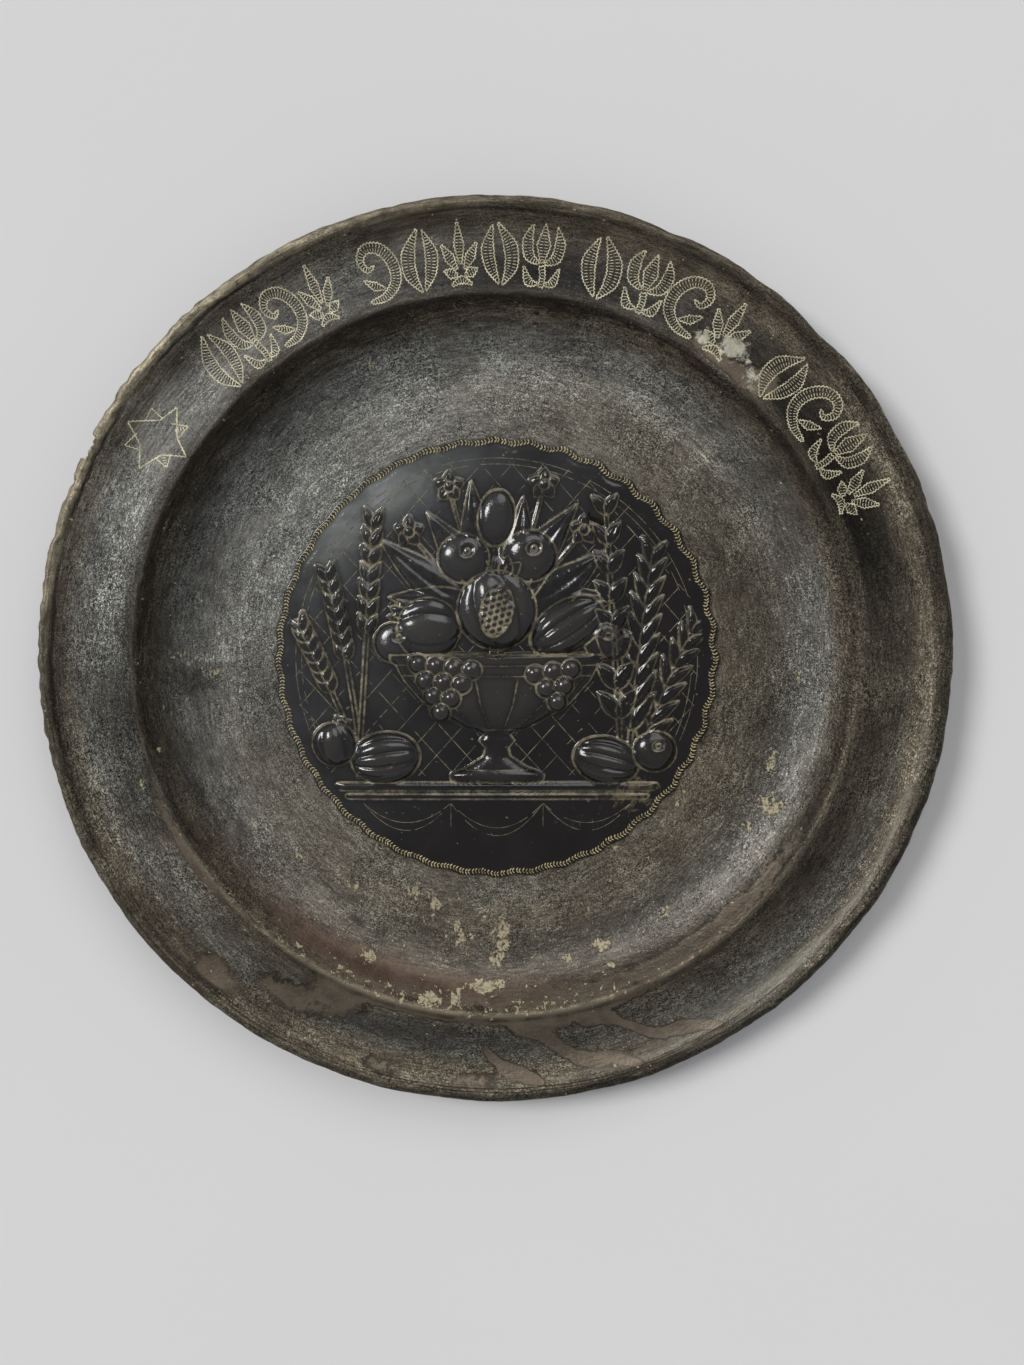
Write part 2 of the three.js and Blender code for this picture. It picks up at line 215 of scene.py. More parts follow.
def new_mesh(name, points, faces, attributes=None):
    mesh = bpy.data.meshes.new(name)
    mesh.from_pydata((np.asarray(points) * MM).tolist(), [], faces)
    mesh.polygons.foreach_set("use_smooth", np.full(len(mesh.polygons), True))
    for key, values in (attributes or {}).items():
        layer = mesh.attributes.new(key, "FLOAT", "POINT")
        layer.data.foreach_set("value", np.asarray(values, dtype=np.float32).ravel())
    mesh.update()
    piece = bpy.data.objects.new(name, mesh)
    bpy.context.scene.collection.objects.link(piece)
    return piece


def ring_faces(rings, steps):
    """Quads between neighbouring rings of a surface of revolution"""
    i, j = np.meshgrid(np.arange(rings - 1), np.arange(steps), indexing="ij")
    here, there = i * steps + j, (i + 1) * steps + j
    beside, across = i * steps + (j + 1) % steps, (i + 1) * steps + (j + 1) % steps
    return np.stack([here, there, across, beside], -1).reshape(-1, 4)


def section():
    """The dish's section, from the centre of the well over the hem and back to the centre of the base"""
    # rings lie closer where the surface turns sharply, at the ridge and on the lip
    radii = np.concatenate([
        [20, 60, 88], np.arange(91, WELL_RADIUS, 1.8), np.arange(WELL_RADIUS, 146, 1.6),
        np.arange(146, 157, 0.55), np.arange(157, 180, 1.7), np.arange(180, LIP_RADIUS - 0.2, 0.65)])
    turns = np.radians(np.linspace(90, HEM_MOUTH, 24))
    # a rolled edge that was hammered shut is squarer than an oval
    power = 0.8
    across = np.sign(np.cos(turns)) * np.abs(np.cos(turns)) ** power
    up = np.sign(np.sin(turns)) * np.abs(np.sin(turns)) ** power
    hem_radii = LIP_RADIUS + HEM_HALF_WIDTH * across
    hem_heights = LIP_HEIGHT - HEM_HALF_HEIGHT + HEM_HALF_HEIGHT * up
    under = np.concatenate([np.linspace(181.5, RIDGE_RADIUS + 3, 7), [RIDGE_RADIUS + 1.2, RIDGE_RADIUS - 1],
                            np.linspace(RIDGE_RADIUS - 4, WELL_RADIUS, 9)])
    slope = (true_height(under + 0.1) - true_height(under - 0.1)) / 0.2
    slope = np.where(np.abs(under - RIDGE_RADIUS) < 2, 0.3, slope)
    lean = np.hypot(1, slope)
    under_radii = under + METAL * slope / lean
    under_heights = true_height(under) - METAL / lean
    under_heights[-1], under_radii[-1] = 0, WELL_RADIUS
    base = [88, 40, 5]
    return (np.concatenate([radii, hem_radii, under_radii, base]),
            np.concatenate([true_height(radii), hem_heights, under_heights, np.zeros(len(base))]))


def chip_limit(angle):
    """How far out the metal still reaches where a piece of the edge has broken away"""
    half = math.degrees(CHIP_LENGTH / 2 / OUTER_RADIUS)
    away = (angle - CHIP_ANGLE + 180) % 360 - 180
    ragged = 0.35 * np.sin(away * 9) + 0.25 * np.sin(away * 23 + 1)
    ragged = ragged + 0.5 * swell(angle, CHIP_ANGLE - 0.4, 0.35)
    depth = CHIP_DEPTH * smoothstep(half - np.abs(away), 0, 0.5) * (0.75 + 0.25 * away / half)
    return np.where(np.abs(away) < half, OUTER_RADIUS + 0.4 - depth - ragged * (depth > 0.5), 1e6)


def spot(radius, angle, middle, reach, half_along, half_out):
    """A soft oval that lies along the dish's circles; its half sizes are in millimetres"""
    along = np.radians((angle - middle + 180) % 360 - 180) * reach
    return np.exp(-(along / half_along) ** 2 - ((radius - reach) / half_out) ** 2)


def spots(rows, radius, angle):
    """Soft ovals by their angle, radius, half length along the circle, half width and strength"""
    return sum(weight * spot(radius, angle, *where) for *where, weight in rows)


def arcs(rows, radius, angle):
    """Soft arcs by their angle and half width in degrees, radius and half width, and strength"""
    return sum(weight * swell(angle, middle, half) * near(radius, reach, width)
               for middle, half, reach, width, weight in rows)


FILM_ARCS = (  # along the ridge, and down the wall
    (150, 62, 154.2, 2.4, 0.3), (211, 13, 154.2, 2.4, 0.9), (256, 12, 154.2, 2.4, 0.8),
    (295, 30, 154.2, 2.4, 0.75), (254, 30, 143.5, 7, 1.1), (306, 28, 147.6, 3.2, 1.35))
FILM_POOLS = (
    (228, 179, 14, 7, 0.9), (237.5, 169.5, 17, 5.5, 0.85), (244.5, 160.5, 17, 8, 1.05),
    (280, 157, 30, 5, 0.9), (267, 182, 15, 6, 0.85), (254, 181, 10, 5, 0.8), (47, 160, 9, 8, 1.1),
    (55, 156, 16, 4, 0.9))
FILM_RUNS = (  # first and last angle, inner radius and half width
    (304, 284, 158, 3.6), (291, 273, 158, 4.4), (277, 268, 166, 3.4))


def film_field(radius, angle):
    """Where a smooth brown film covers the grain: along the ridge, and run down over the rim"""
    runs = 0
    for top, low, reach, width in FILM_RUNS:
        share = (angle - low) / (top - low)
        middle = reach + (188 - reach) * share + 2.2 * np.sin(np.radians(angle * 31))
        ends = smoothstep(share, -0.1, 0.08) * (1 - smoothstep(share, 0.95, 1.1))
        runs = runs + 1.15 * ends * near(radius, middle, width)
    runs = runs * (1 - smoothstep(radius, 182, 186))
    return arcs(FILM_ARCS, radius, angle) + spots(FILM_POOLS, radius, angle) + runs


RESIDUE = (
    (268, 141.5, 7.5, 2.6, 1.35), (263, 145.5, 4, 2.5, 0.95), (259, 147, 4, 2, 0.85),
    (246.6, 139.5, 4, 2.5, 1), (242, 146, 3, 2, 0.8), (271, 124, 2.8, 7, 1.05), (269, 130, 3, 3, 0.9),
    (272, 118, 2, 3, 0.8), (261.5, 119.5, 3.5, 3, 0.95), (263.5, 123, 3, 2.5, 0.75),
    (256, 109, 2.5, 5, 0.75), (250, 108.5, 3.5, 2.5, 1), (237.6, 116.7, 3.5, 2.5, 0.85),
    (246.6, 97.5, 4, 1.5, 1), (290.6, 141, 1.8, 1.5, 1.1), (289.8, 132, 3.2, 2.4, 1),
    (283.5, 134, 2, 2, 0.8), (303.6, 132, 2.5, 1.6, 0.9), (332, 132, 5.5, 5, 1.1),
    (333.5, 137, 3, 2.5, 0.8), (339.4, 126.5, 5.5, 2, 1.1), (326.6, 130, 2.6, 3, 1.05),
    (356, 129.5, 3, 3, 0.65), (344, 115, 2, 2, 0.7), (321.5, 100, 8, 3, 0.65), (302, 97.5, 3, 2, 0.85),
    (182.5, 122, 3, 4, 0.95), (198.5, 157, 2.5, 5, 0.7), (194.5, 147, 3, 1.5, 0.85),
    (335.5, 170, 2, 2, 0.8), (286.6, 181.5, 1.2, 1.2, 1.2), (225, 122, 4, 2, 0.7), (113, 134, 4, 3, 0.9),
    (179, 133, 3, 5, 0.75), (161, 184.3, 1.2, 2.4, 1.3))


def residue_field(radius, angle):
    """Where crumbs of old polish and dirt have gathered"""
    floor = smoothstep(radius, 92, 104) * (1 - smoothstep(radius, 150, 160))
    return (spots(RESIDUE, radius, angle) + 0.36 * swell(angle, 275, 60) * floor
            + 0.38 * swell(angle, 255, 40) * near(radius, 150, 3))


TONES = (  # where the metal is darker or lighter, as a power of e: partly dirt and handling, partly painted shade and painted light
    (0, 900, 129, 6, -0.06), (45, 72, 157, 6, -0.3), (32, 26, 162, 12, -0.32), (100, 22, 162, 9, -0.3),
    (160, 28, 154, 3.5, -0.3), (190, 15, 161, 11, -0.54), (231, 14, 168, 12, -0.14),
    (50, 8, 156, 4.5, 0.45), (262, 22, 165, 7, -0.44), (236, 20, 178, 6, -0.14), (325, 50, 161, 11, -0.34),
    (25, 58, 186, 4, -0.42), (112, 40, 181, 4.5, -0.36), (140, 32, 185.5, 3, 0.12),
    (264, 26, 185, 2.4, 0.12), (188, 20, 184.5, 6, -0.42), (298, 64, 188.3, 3.4, -0.64),
    (322, 45, 183, 2, 0.14), (312, 32, 175, 4.5, -0.14), (0, 13, 159, 5.5, 0.36), (152, 32, 139, 9, -0.28),
    (170, 10, 145, 3, -0.12), (192, 15, 144, 7, -0.24), (292, 62, 145, 4.2, -0.26),
    (250, 16, 142.5, 4, -0.28), (12, 28, 141, 7, 0.06), (60, 62, 150.5, 1.8, -0.24), (94, 22, 145, 5, 0.13),
    (302, 42, 125, 6.5, -0.32), (352, 24, 115, 14, -0.24), (229, 14, 131, 4, 0.2), (70, 34, 124, 7, 0.2),
    (95, 18, 116, 6, 0.16), (130, 50, 103, 12, 0.08), (190, 11, 101, 9, -0.3), (28, 15, 106, 11, -0.26),
    (330, 40, 98, 6, -0.05), (246.8, 1.6, 129, 2.6, -0.4), (241.8, 1.8, 129, 2.6, -0.35),
    (215, 1.8, 132, 2.2, -0.3), (203, 6, 139.5, 2.5, -0.25), (348, 4, 119, 4, -0.25),
    (184.5, 2.6, 126, 5, -0.35), (35.4, 1.8, 141, 3.5, -0.35), (320, 28, 138, 9, -0.2),
    (21, 8, 162, 9, -0.2), (83, 12, 162, 8, -0.42), (320, 40, 177, 3.5, -0.06), (230, 10, 158, 8, -0.16),
    (184, 12, 149, 2.2, 0.24), (62, 10, 149.5, 1.8, 0.12), (122, 14, 149.5, 2, 0.12),
    (120, 40, 129, 5, -0.05), (344, 14, 187, 3, -0.14), (271, 14, 129, 5, -0.08),
    (312, 32, 147.6, 2.8, -0.7), (250, 15, 145.5, 3, -0.4), (292, 30, 146, 4, -0.2),
    (345, 12, 129, 6, -0.07))


def polish_and_highlight(radius, angle):
    """A bright band rubbed along the inside of the rolled edge at the lower right: smoother, and painted
    light as a highlight
    """
    broad = swell(angle, 303, 11)
    return near(radius, 182 - 3 * broad, 1.7 + 5.5 * broad) * swell(angle, 314, 34)


def grained(radius, angle):
    """How strongly the skin is wrinkled: all over the well, and in places on the rim"""
    rim = 0.4 + 0.6 * swell(angle, 280, 55) + 1.1 * swell(angle, 5, 30) + 0.6 * swell(angle, 206, 14)
    rim = rim + spots(((182, 166, 60, 13, 1.8), (20, 180, 32, 5, 0.9)), radius, angle)
    rim = rim * (1 - 0.8 * polish_and_highlight(radius, angle))
    well = 1 - 0.3 * near(radius, 142, 6) + 0.3 * spot(radius, angle, 80, 126, 60, 9)
    return well + (rim - well) * smoothstep(radius, 148, 153)


def warmth(radius, angle):
    """How brown the colour is: least at the upper left of the well, most towards the edge"""
    round_about = 1 - 0.85 * swell(angle, 140, 72)
    foot = 0.5 * near(radius, 131, 11) * (1 - 0.6 * swell(angle, 250, 40))
    foot = foot + 0.45 * near(radius, 166, 9) * swell(angle, 255, 50)
    cooler = arcs(((340, 55, 140, 8, 0.4), (320, 28, 176, 8, 0.6), (70, 32, 160, 8, 0.4),
                   (270, 32, 101, 8, 0.25), (350, 30, 158, 5, -0.3), (230, 12, 158, 5, -0.3)),
                  radius, angle)
    browner = 0.35 + 0.35 * swell(angle, 140, 60)
    return np.clip(0.95 * round_about * (1 - foot) + 0.6 * smoothstep(radius, 171, 184)
                   + browner * near(radius, 147, 5) - cooler, 0, 1.3)


def smear_field(x, y):
    """A white smear over the ornament, thick at its middle"""
    ends = hump(x, y, (84, 134), (4, 4)) + 0.8 * hump(x, y, (104, 118), (4, 6))
    return 1.35 * hump(x, y, SMEAR, (6.2, 4.8)) + ends


def dish():
    radii, heights = section()
    steps = STEPS_ROUND
    even = np.linspace(0, 360, steps - STEPS_ACROSS_CHIP, endpoint=False)
    extra = CHIP_ANGLE + np.linspace(-5.5, 5.5, STEPS_ACROSS_CHIP) + 0.07
    angles = np.sort(np.concatenate([even, extra]) % 360)
    radius, angle = np.meshgrid(radii, angles, indexing="ij")
    height = np.repeat(heights[:, None], steps, axis=1)
    x, y, z = dressed(radius, angle, height)
    z = np.where(height > 0, np.maximum(z, 0), 0)
    # the broken edge is torn to the thickness of the sheet
    reach = np.hypot(x, y)
    limit = chip_limit(angle)
    torn = np.clip((reach - limit) / 1.5, 0, 1)
    x, y = x * np.minimum(1, limit / reach), y * np.minimum(1, limit / reach)
    middle = LIP_HEIGHT - HEM_HALF_HEIGHT + 0.3
    z = z * (1 - torn) + torn * (middle + 0.45 * (z - middle))
    points = np.stack([x, y, z], -1).reshape(-1, 3)
    faces = ring_faces(len(radii), steps).tolist()
    top, bottom = len(points), len(points) + 1
    points = np.vstack([points, [0, 0, METAL], [0, 0, 0]])
    last = (len(radii) - 1) * steps
    for j in range(steps):
        k = (j + 1) % steps
        faces.append([top, j, k])
        faces.append([bottom, last + k, last + j])
    upper = np.repeat((np.arange(len(radii)) < np.argmax(radii) + 6)[:, None], steps, axis=1)
    crease = fold_radius(angle)
    corner = near(radius, 148.8, 2.7) * (1 - 0.5 * swell(angle, 232, 22) - 0.45 * swell(angle, 0, 40))
    wall = near(radius, 143.5, 8) * 0.9 * swell(angle, 120, 62)
    cracks = swell(angle, 98, 9) + swell(angle, 82, 5) + swell(angle, 69, 6) + 0.8 * swell(angle, 128, 8)
    fields = {
        "film": film_field(radius, angle),
        "rim": smoothstep(radius, 150, 153),
        "residue": residue_field(radius, angle),
        # tone: partly dirt and handling, partly painted shade and painted light
        "tone": arcs(TONES, radius, angle),
        "painted_fold_shade": near(radius, crease, 0.95) * folded(angle),
        # ridge: a light line along the ridge, strongest at the bottom: partly worn metal, partly a painted
        # highlight
        "ridge": near(radius, RIDGE_RADIUS + 0.9, 1) * (0.12 + 0.88 * swell(angle, 272, 66)),
        "cracked": cracks * smoothstep(radius, 138, 142) * (1 - smoothstep(radius, 149, 151)),
        # a painted shadow in the gutter just outside the ridge
        "painted_gutter_shadow": near(radius, RIDGE_RADIUS + 3.1, 1.1) * swell(angle, 285, 62),
        "polish_and_highlight": polish_and_highlight(radius, angle),
        # hem: painted lighter on its upper left side, where the light falls on it
        "hem": smoothstep(radius, crease + 0.3, crease + 1.1) * (0.05 + 0.95 * swell(angle, 140, 44)),
        "rolled": smoothstep(radius, 181.5, 184) * (0.3 + 0.7 * swell(angle, 270, 70)),
        "smear": smear_field(x, y),
        "shade": 0.75 * corner + wall + 0.5 * near(radius, 153, 3.2) * swell(angle, 155, 62),
        "streaked": near(radius, 136, 14) * (0.25 + 0.75 * swell(angle, 150, 75)),
        "warm": warmth(radius, angle),
        # dark: the upper right of the rim darker, partly dark patina and partly painted shade
        "dark": smoothstep(radius, 153, 158) * (1 - smoothstep(radius, 171, 182)) * swell(angle, 34, 50),
        "grained": grained(radius, angle),
        "worn": near(radius, 138, 13) * swell(angle, 285, 80),
        "red": near(radius, 143, 5.5) * swell(angle, 250, 32),
    }
    fields = {key: values * upper for key, values in fields.items()}
    return new_mesh("pewter_dish", points, faces,
                    {key: np.append(values.ravel(), [0, 0]) for key, values in fields.items()})


# Drawing in relief

class Relief:
    """Forms beaten up from a sheet. Heights are above its face, in millimetres, on a grid of points."""

    def __init__(self, x, y):
        self.x, self.y = x, y
        self.height = np.zeros_like(x)
        self.chased = np.zeros_like(x)

    def add(self, height, beyond, inner=0.0):
        """A form by its height, how far each point is beyond its outline, and lines chased within it"""
        over = (height > self.height) & (beyond < 0)
        outline = np.exp(-(beyond / 0.6) ** 2)
        self.chased = np.where(over, np.maximum(outline, inner), np.maximum(self.chased, outline))
        self.height = np.where(over, height, self.height)

    def local(self, centre, turn):
        dx, dy = self.x - centre[0], self.y - centre[1]
        c, s = heading(turn)
        return dx * c + dy * s, -dx * s + dy * c

    def boss(self, x, y, length, width, height, turn=0, lobes=0, lift=0.0):
        """A domed form on an oval, ribbed like a gourd if it has lobes"""
        along, across = self.local((x, y), turn)
        out = np.hypot(along / length, across / width)
        dome = height * np.clip(1 - out ** 2.2, 0, None) ** 0.55
        inner = 0.0
        if lobes:
            half = width * np.sqrt(np.clip(1 - (along / length) ** 2, 1e-6, 1))
            turned = np.arcsin(np.clip(across / half, -1, 1))
            rib = np.abs(np.cos(lobes * turned / 2))
            dome = dome * (1 - 0.26 * (1 - rib) ** 1.6)
            inner = 0.45 * np.exp(-(2 * rib * half * np.cos(turned) / lobes / 0.4) ** 2)
        self.add(dome + lift * (out < 1), (out - 1) * min(length, width), inner)

    def hollow(self, x, y, length, width, depth, turn=0):
        """A dish pressed back into a form, with a chased edge"""
        along, across = self.local((x, y), turn)
        out = np.hypot(along / length, across / width)
        self.height = self.height - depth * np.clip(1 - out ** 4, 0, None)
        self.chased = np.maximum(self.chased, 0.8 * np.exp(-((out - 1) * min(length, width) / 0.5) ** 2))

    def leaf(self, x, y, length, width, height, turn, bend=0.0, veins=0):
        along, across = self.local((x, y), turn)
        share = np.clip(along / length, 0, 1)
        across = across + bend * np.sin(np.pi * share)
        half = (width / 2) * np.sin(np.pi * share ** 0.8) + 1e-6
        out = np.clip(np.abs(across) / half, 0, 1)
        dome = height * (0.55 + 0.45 * np.sin(np.pi * out ** 0.8)) * np.sqrt(1 - out ** 3)
        dome = dome * np.sin(np.pi * np.clip(share, 0.02, 0.98)) ** 0.35
        beyond = np.where((along > 0) & (along < length), np.abs(across) - half, 9)
        vein = 0.55 * np.exp(-(across / 0.4) ** 2)
        if veins:
            slant = ((along - np.abs(across) * 0.9) * veins / length) % 1
            vein = np.maximum(vein, 0.4 * near(slant, 0.5, 0.09))
            dome = dome - 0.18 * vein
        self.add(dome, beyond, vein * (out < 0.9))

    def rod(self, points, thickness, height):
        away = np.full(self.x.shape, 1e9)
        for a, b in zip(points[:-1], points[1:]):
            step = b - a
            dx, dy = self.x - a[0], self.y - a[1]
            share = np.clip((dx * step[0] + dy * step[1]) / (step @ step), 0, 1)
            away = np.minimum(away, np.hypot(dx - share * step[0], dy - share * step[1]))
        out = np.clip(2 * away / thickness, 0, 1)
        self.add(height * np.sqrt(1 - out ** 2), away - thickness / 2)


def bezier(start, through, end, count=14):
    t = np.linspace(0, 1, count)[:, None]
    start, through, end = map(np.array, (start, through, end))
    return (1 - t) ** 2 * start + 2 * t * (1 - t) * through + t ** 2 * end


def sprig(relief, ends, thickness, pairs, start, spacing, lean, blade, bend=0.0, taper=False):
    """A stalk along a bent line, with pairs of leaves that lean out from it"""
    fine = bezier(*ends, 201)
    relief.rod(bezier(*ends), thickness, 0.55 * thickness)
    length, width, height = blade
    for pair in range(pairs):
        along = start + spacing * pair
        k = int(round(along * 200))
        place, ahead = fine[k], fine[min(k + 1, 200)] - fine[max(k - 1, 0)]
        turn = math.degrees(math.atan2(ahead[1], ahead[0]))
        size = 1.1 - 0.4 * along if taper else 1
        for side in (1, -1):
            relief.leaf(*place, length * size, width * size, height, turn + side * lean, side * bend)


def pomegranate(relief, x, y, radius, height, turn):
    root = np.array([x, y]) + 0.8 * radius * np.array(heading(turn))
    for spread in (-34, 34, 0):
        relief.leaf(*root, 0.62 * radius, 0.36 * radius, 0.45 * height, turn + spread)
    relief.boss(x, y, radius, radius, height, turn + 30, lobes=6)


def split_pomegranate(relief, x, y, radius, height, turn):
    """A pomegranate whose rind has burst, so that its seeds show"""
    pomegranate(relief, x, y, radius, height, turn)
    long, short = 0.66 * radius, 0.4 * radius
    relief.hollow(x, y, long, short, 1.8, turn)
    c, s = heading(turn)
    for row in range(-2, 3):
        for k in range(-4, 5):
            u, v = 2.9 * (k + 0.5 * (row % 2)), 2.5 * row
            if (u / long) ** 2 + (v / short) ** 2 < 0.75:
                relief.boss(x + u * c - v * s, y + u * s + v * c, 1.7, 1.5, 1.3, lift=height - 2)


def apple(relief, x, y, radius, height):
    relief.boss(x, y, radius, 0.95 * radius, height)
    relief.hollow(x + 0.15 * radius, y + 0.3 * radius, 0.3 * radius, 0.24 * radius, 1.1, 20)
    relief.boss(x + 0.15 * radius, y + 0.3 * radius, 1.1, 1.1, 0.9, lift=height - 1.4)


def grapes(relief, x, y, rows, berry, turn):
    c, s = heading(turn)
    for row in range(rows):
        for i in range(rows - row):
            u, v = (i - (rows - row - 1) / 2) * 1.75 * berry, -1.5 * berry * row
            relief.boss(x + u * c - v * s, y + u * s + v * c, berry, berry, berry - 0.3, lift=3.2)


BOWL = np.array([(20, -52), (20.5, -49), (13, -46), (6, -41.5), (5, -37.5), (7.8, -34.5), (5.6, -31.5),
                 (17, -27), (31, -18.5), (40, -8), (43, -2), (45.5, 0.5), (45.5, 3)], dtype=float)
BOWL_HEIGHT = 6.2


def bowl(relief):
    """A footed bowl: gadroons round its lower part, and chased mouldings"""
    half = np.interp(relief.y, BOWL[:, 1], BOWL[:, 0])
    out = np.clip(np.abs(relief.x) / half, 0, 1)
    dome = BOWL_HEIGHT * np.sqrt(half / BOWL[:, 0].max()) * np.sqrt(1 - out ** 2)
    rib = np.abs(np.cos(7 * np.arcsin(np.clip(relief.x / half, -1, 1))))
    gadroons = (relief.y > -28) & (relief.y < -7)
    dome = np.where(gadroons, dome * (1 - 0.16 * (1 - rib) ** 1.5), dome)
    inner = np.where(gadroons, 0.7 * np.exp(-(rib / 0.14) ** 2), 0)
    for level in (-1.5, -6, -29.5, -47):
        moulding = np.exp(-((relief.y - level) / 0.45) ** 2)
        inner = np.maximum(inner, 0.8 * moulding)
        dome = dome - 0.3 * moulding
    level_beyond = np.maximum(BOWL[0, 1] - relief.y, relief.y - BOWL[-1, 1])
    relief.add(dome, np.maximum((np.abs(relief.x) - half) * 0.8, level_beyond), inner)


def blossom(relief, x, y, root):
    relief.rod(bezier(root, (0.8 * x, 0.6 * y + 12), (x, y), 8), 1.3, 0.8)
    for turn in range(18, 378, 72):
        relief.leaf(x, y, 7, 5.4, 2.0, turn)
    relief.boss(x, y, 2.2, 2.2, 2.4)


def harvest(relief):
    for x, y in ((-37, 55), (-20, 74), (20, 75), (37, 56)):
        blossom(relief, x, y, (0.25 * x, 24))
    for i, turn in enumerate(np.linspace(12, 166, 8)):
        length = 62 - 6 * (i % 2) - (8 if i in (0, 7) else 0)
        relief.leaf(0, 16, length, 17, 2.8, turn, 2 if i % 2 else -2, veins=9)
    apple(relief, -14, 44, 11, 5.0)
    apple(relief, 14, 45, 11.5, 5.2)
    relief.boss(0, 61, 12, 8, 4.6, 84, lobes=2)
    apple(relief, -43, 8, 9.5, 4.4)
    apple(relief, 46, 9, 9, 4.4)
    pomegranate(relief, -29, 14, 13.5, 5.8, 150)
    relief.boss(30, 15, 17.5, 11, 5.8, 34, lobes=10)
    split_pomegranate(relief, 0, 22, 17, 6.8, 78)
    bowl(relief)
    grapes(relief, -22, -2, 4, 4.4, -6)
    grapes(relief, 24, -4, 3, 4.4, 8)
    for ends in (((-56, -50), (-68, -18), (-84, 16)), ((-58, -50), (-62, -4), (-72, 38)),
                 ((-60, -50), (-56, 4), (-52, 62))):
        sprig(relief, ends, 1.8, 7, 0.56, 0.065, 24, (10, 4.4, 2.6))
    sprig(relief, ((58, -50), (70, -14), (84, 14)), 2, 7, 0.2, 0.127, 30, (17, 5.4, 2.3), 0.8, taper=True)
    sprig(relief, ((56, -50), (60, 0), (66, 44)), 2, 9, 0.2, 0.095, 26, (20, 6, 2.3), 0.8, taper=True)
    sprig(relief, ((54, -48), (50, 10), (46, 66)), 2, 8, 0.2, 0.109, 34, (15, 7, 2.3), 0.8, taper=True)
    relief.boss(-48, -42, 15, 11.5, 5.6, 8, lobes=12)
    pomegranate(relief, -70, -36, 9.5, 4.8, 70)
    relief.boss(47, -43, 14.5, 10.5, 5.6, -14, lobes=12)
    apple(relief, 68, -39, 9.5, 4.4)
    for level, width, height in ((-54.6, 3.6, 1.6), (-59, 2.4, 0.9)):
        half = math.sqrt((MEDALLION_RADIUS - 7) ** 2 - level ** 2)
        relief.rod(np.array([(-half, level), (half, level)]), width, height)


def chased_lines():
    """Lines on the bare sheet: a double arch, a trellis behind the bowl, and festoons below the ledge"""
    turns = np.radians(np.linspace(-30, 210, 90))
    paths = [np.column_stack([reach * np.cos(turns), reach * np.sin(turns)]) for reach in (83.5, 86)]
    for left, right in ((-58, -20), (-20, 20), (20, 58)):
        for sag in (11, 14.5):
            lowest = (left + right) / 2, -62 - 2 * sag + abs(left + right) * 0.06
            paths.append(bezier((left, -62), lowest, (right, -62)))
    paths += [np.array([(x, -62), (x, -73)]) for x in (-20, 20)]
    for lean in (-1, 1):
        for start in np.arange(-TRELLIS_REACH, TRELLIS_REACH, TRELLIS_PITCH):
            paths.append(np.array([(start - 60 * lean, -50), (start + 60 * lean, 85)]))
    return paths


def scallop(angle):
    """How far the sheet's waved edge stands out from a circle; the waves are shallower at the bottom"""
    depth = SCALLOP_DEPTH * (1 - 0.5 * swell(angle, 250, 95) - 0.5 * swell(angle, 125, 45))
    return depth * np.cos(SCALLOPS * np.radians(angle))


def slack(x, y):
    """How the thin sheet lifts where it isn't beaten"""
    flat = smoothstep(np.hypot(x, y), 86, 93)
    return 0.22 * ripples(x, y, 16, 45, 11) * (1 - flat) * (0.4 + smoothstep(y, -60, 60))


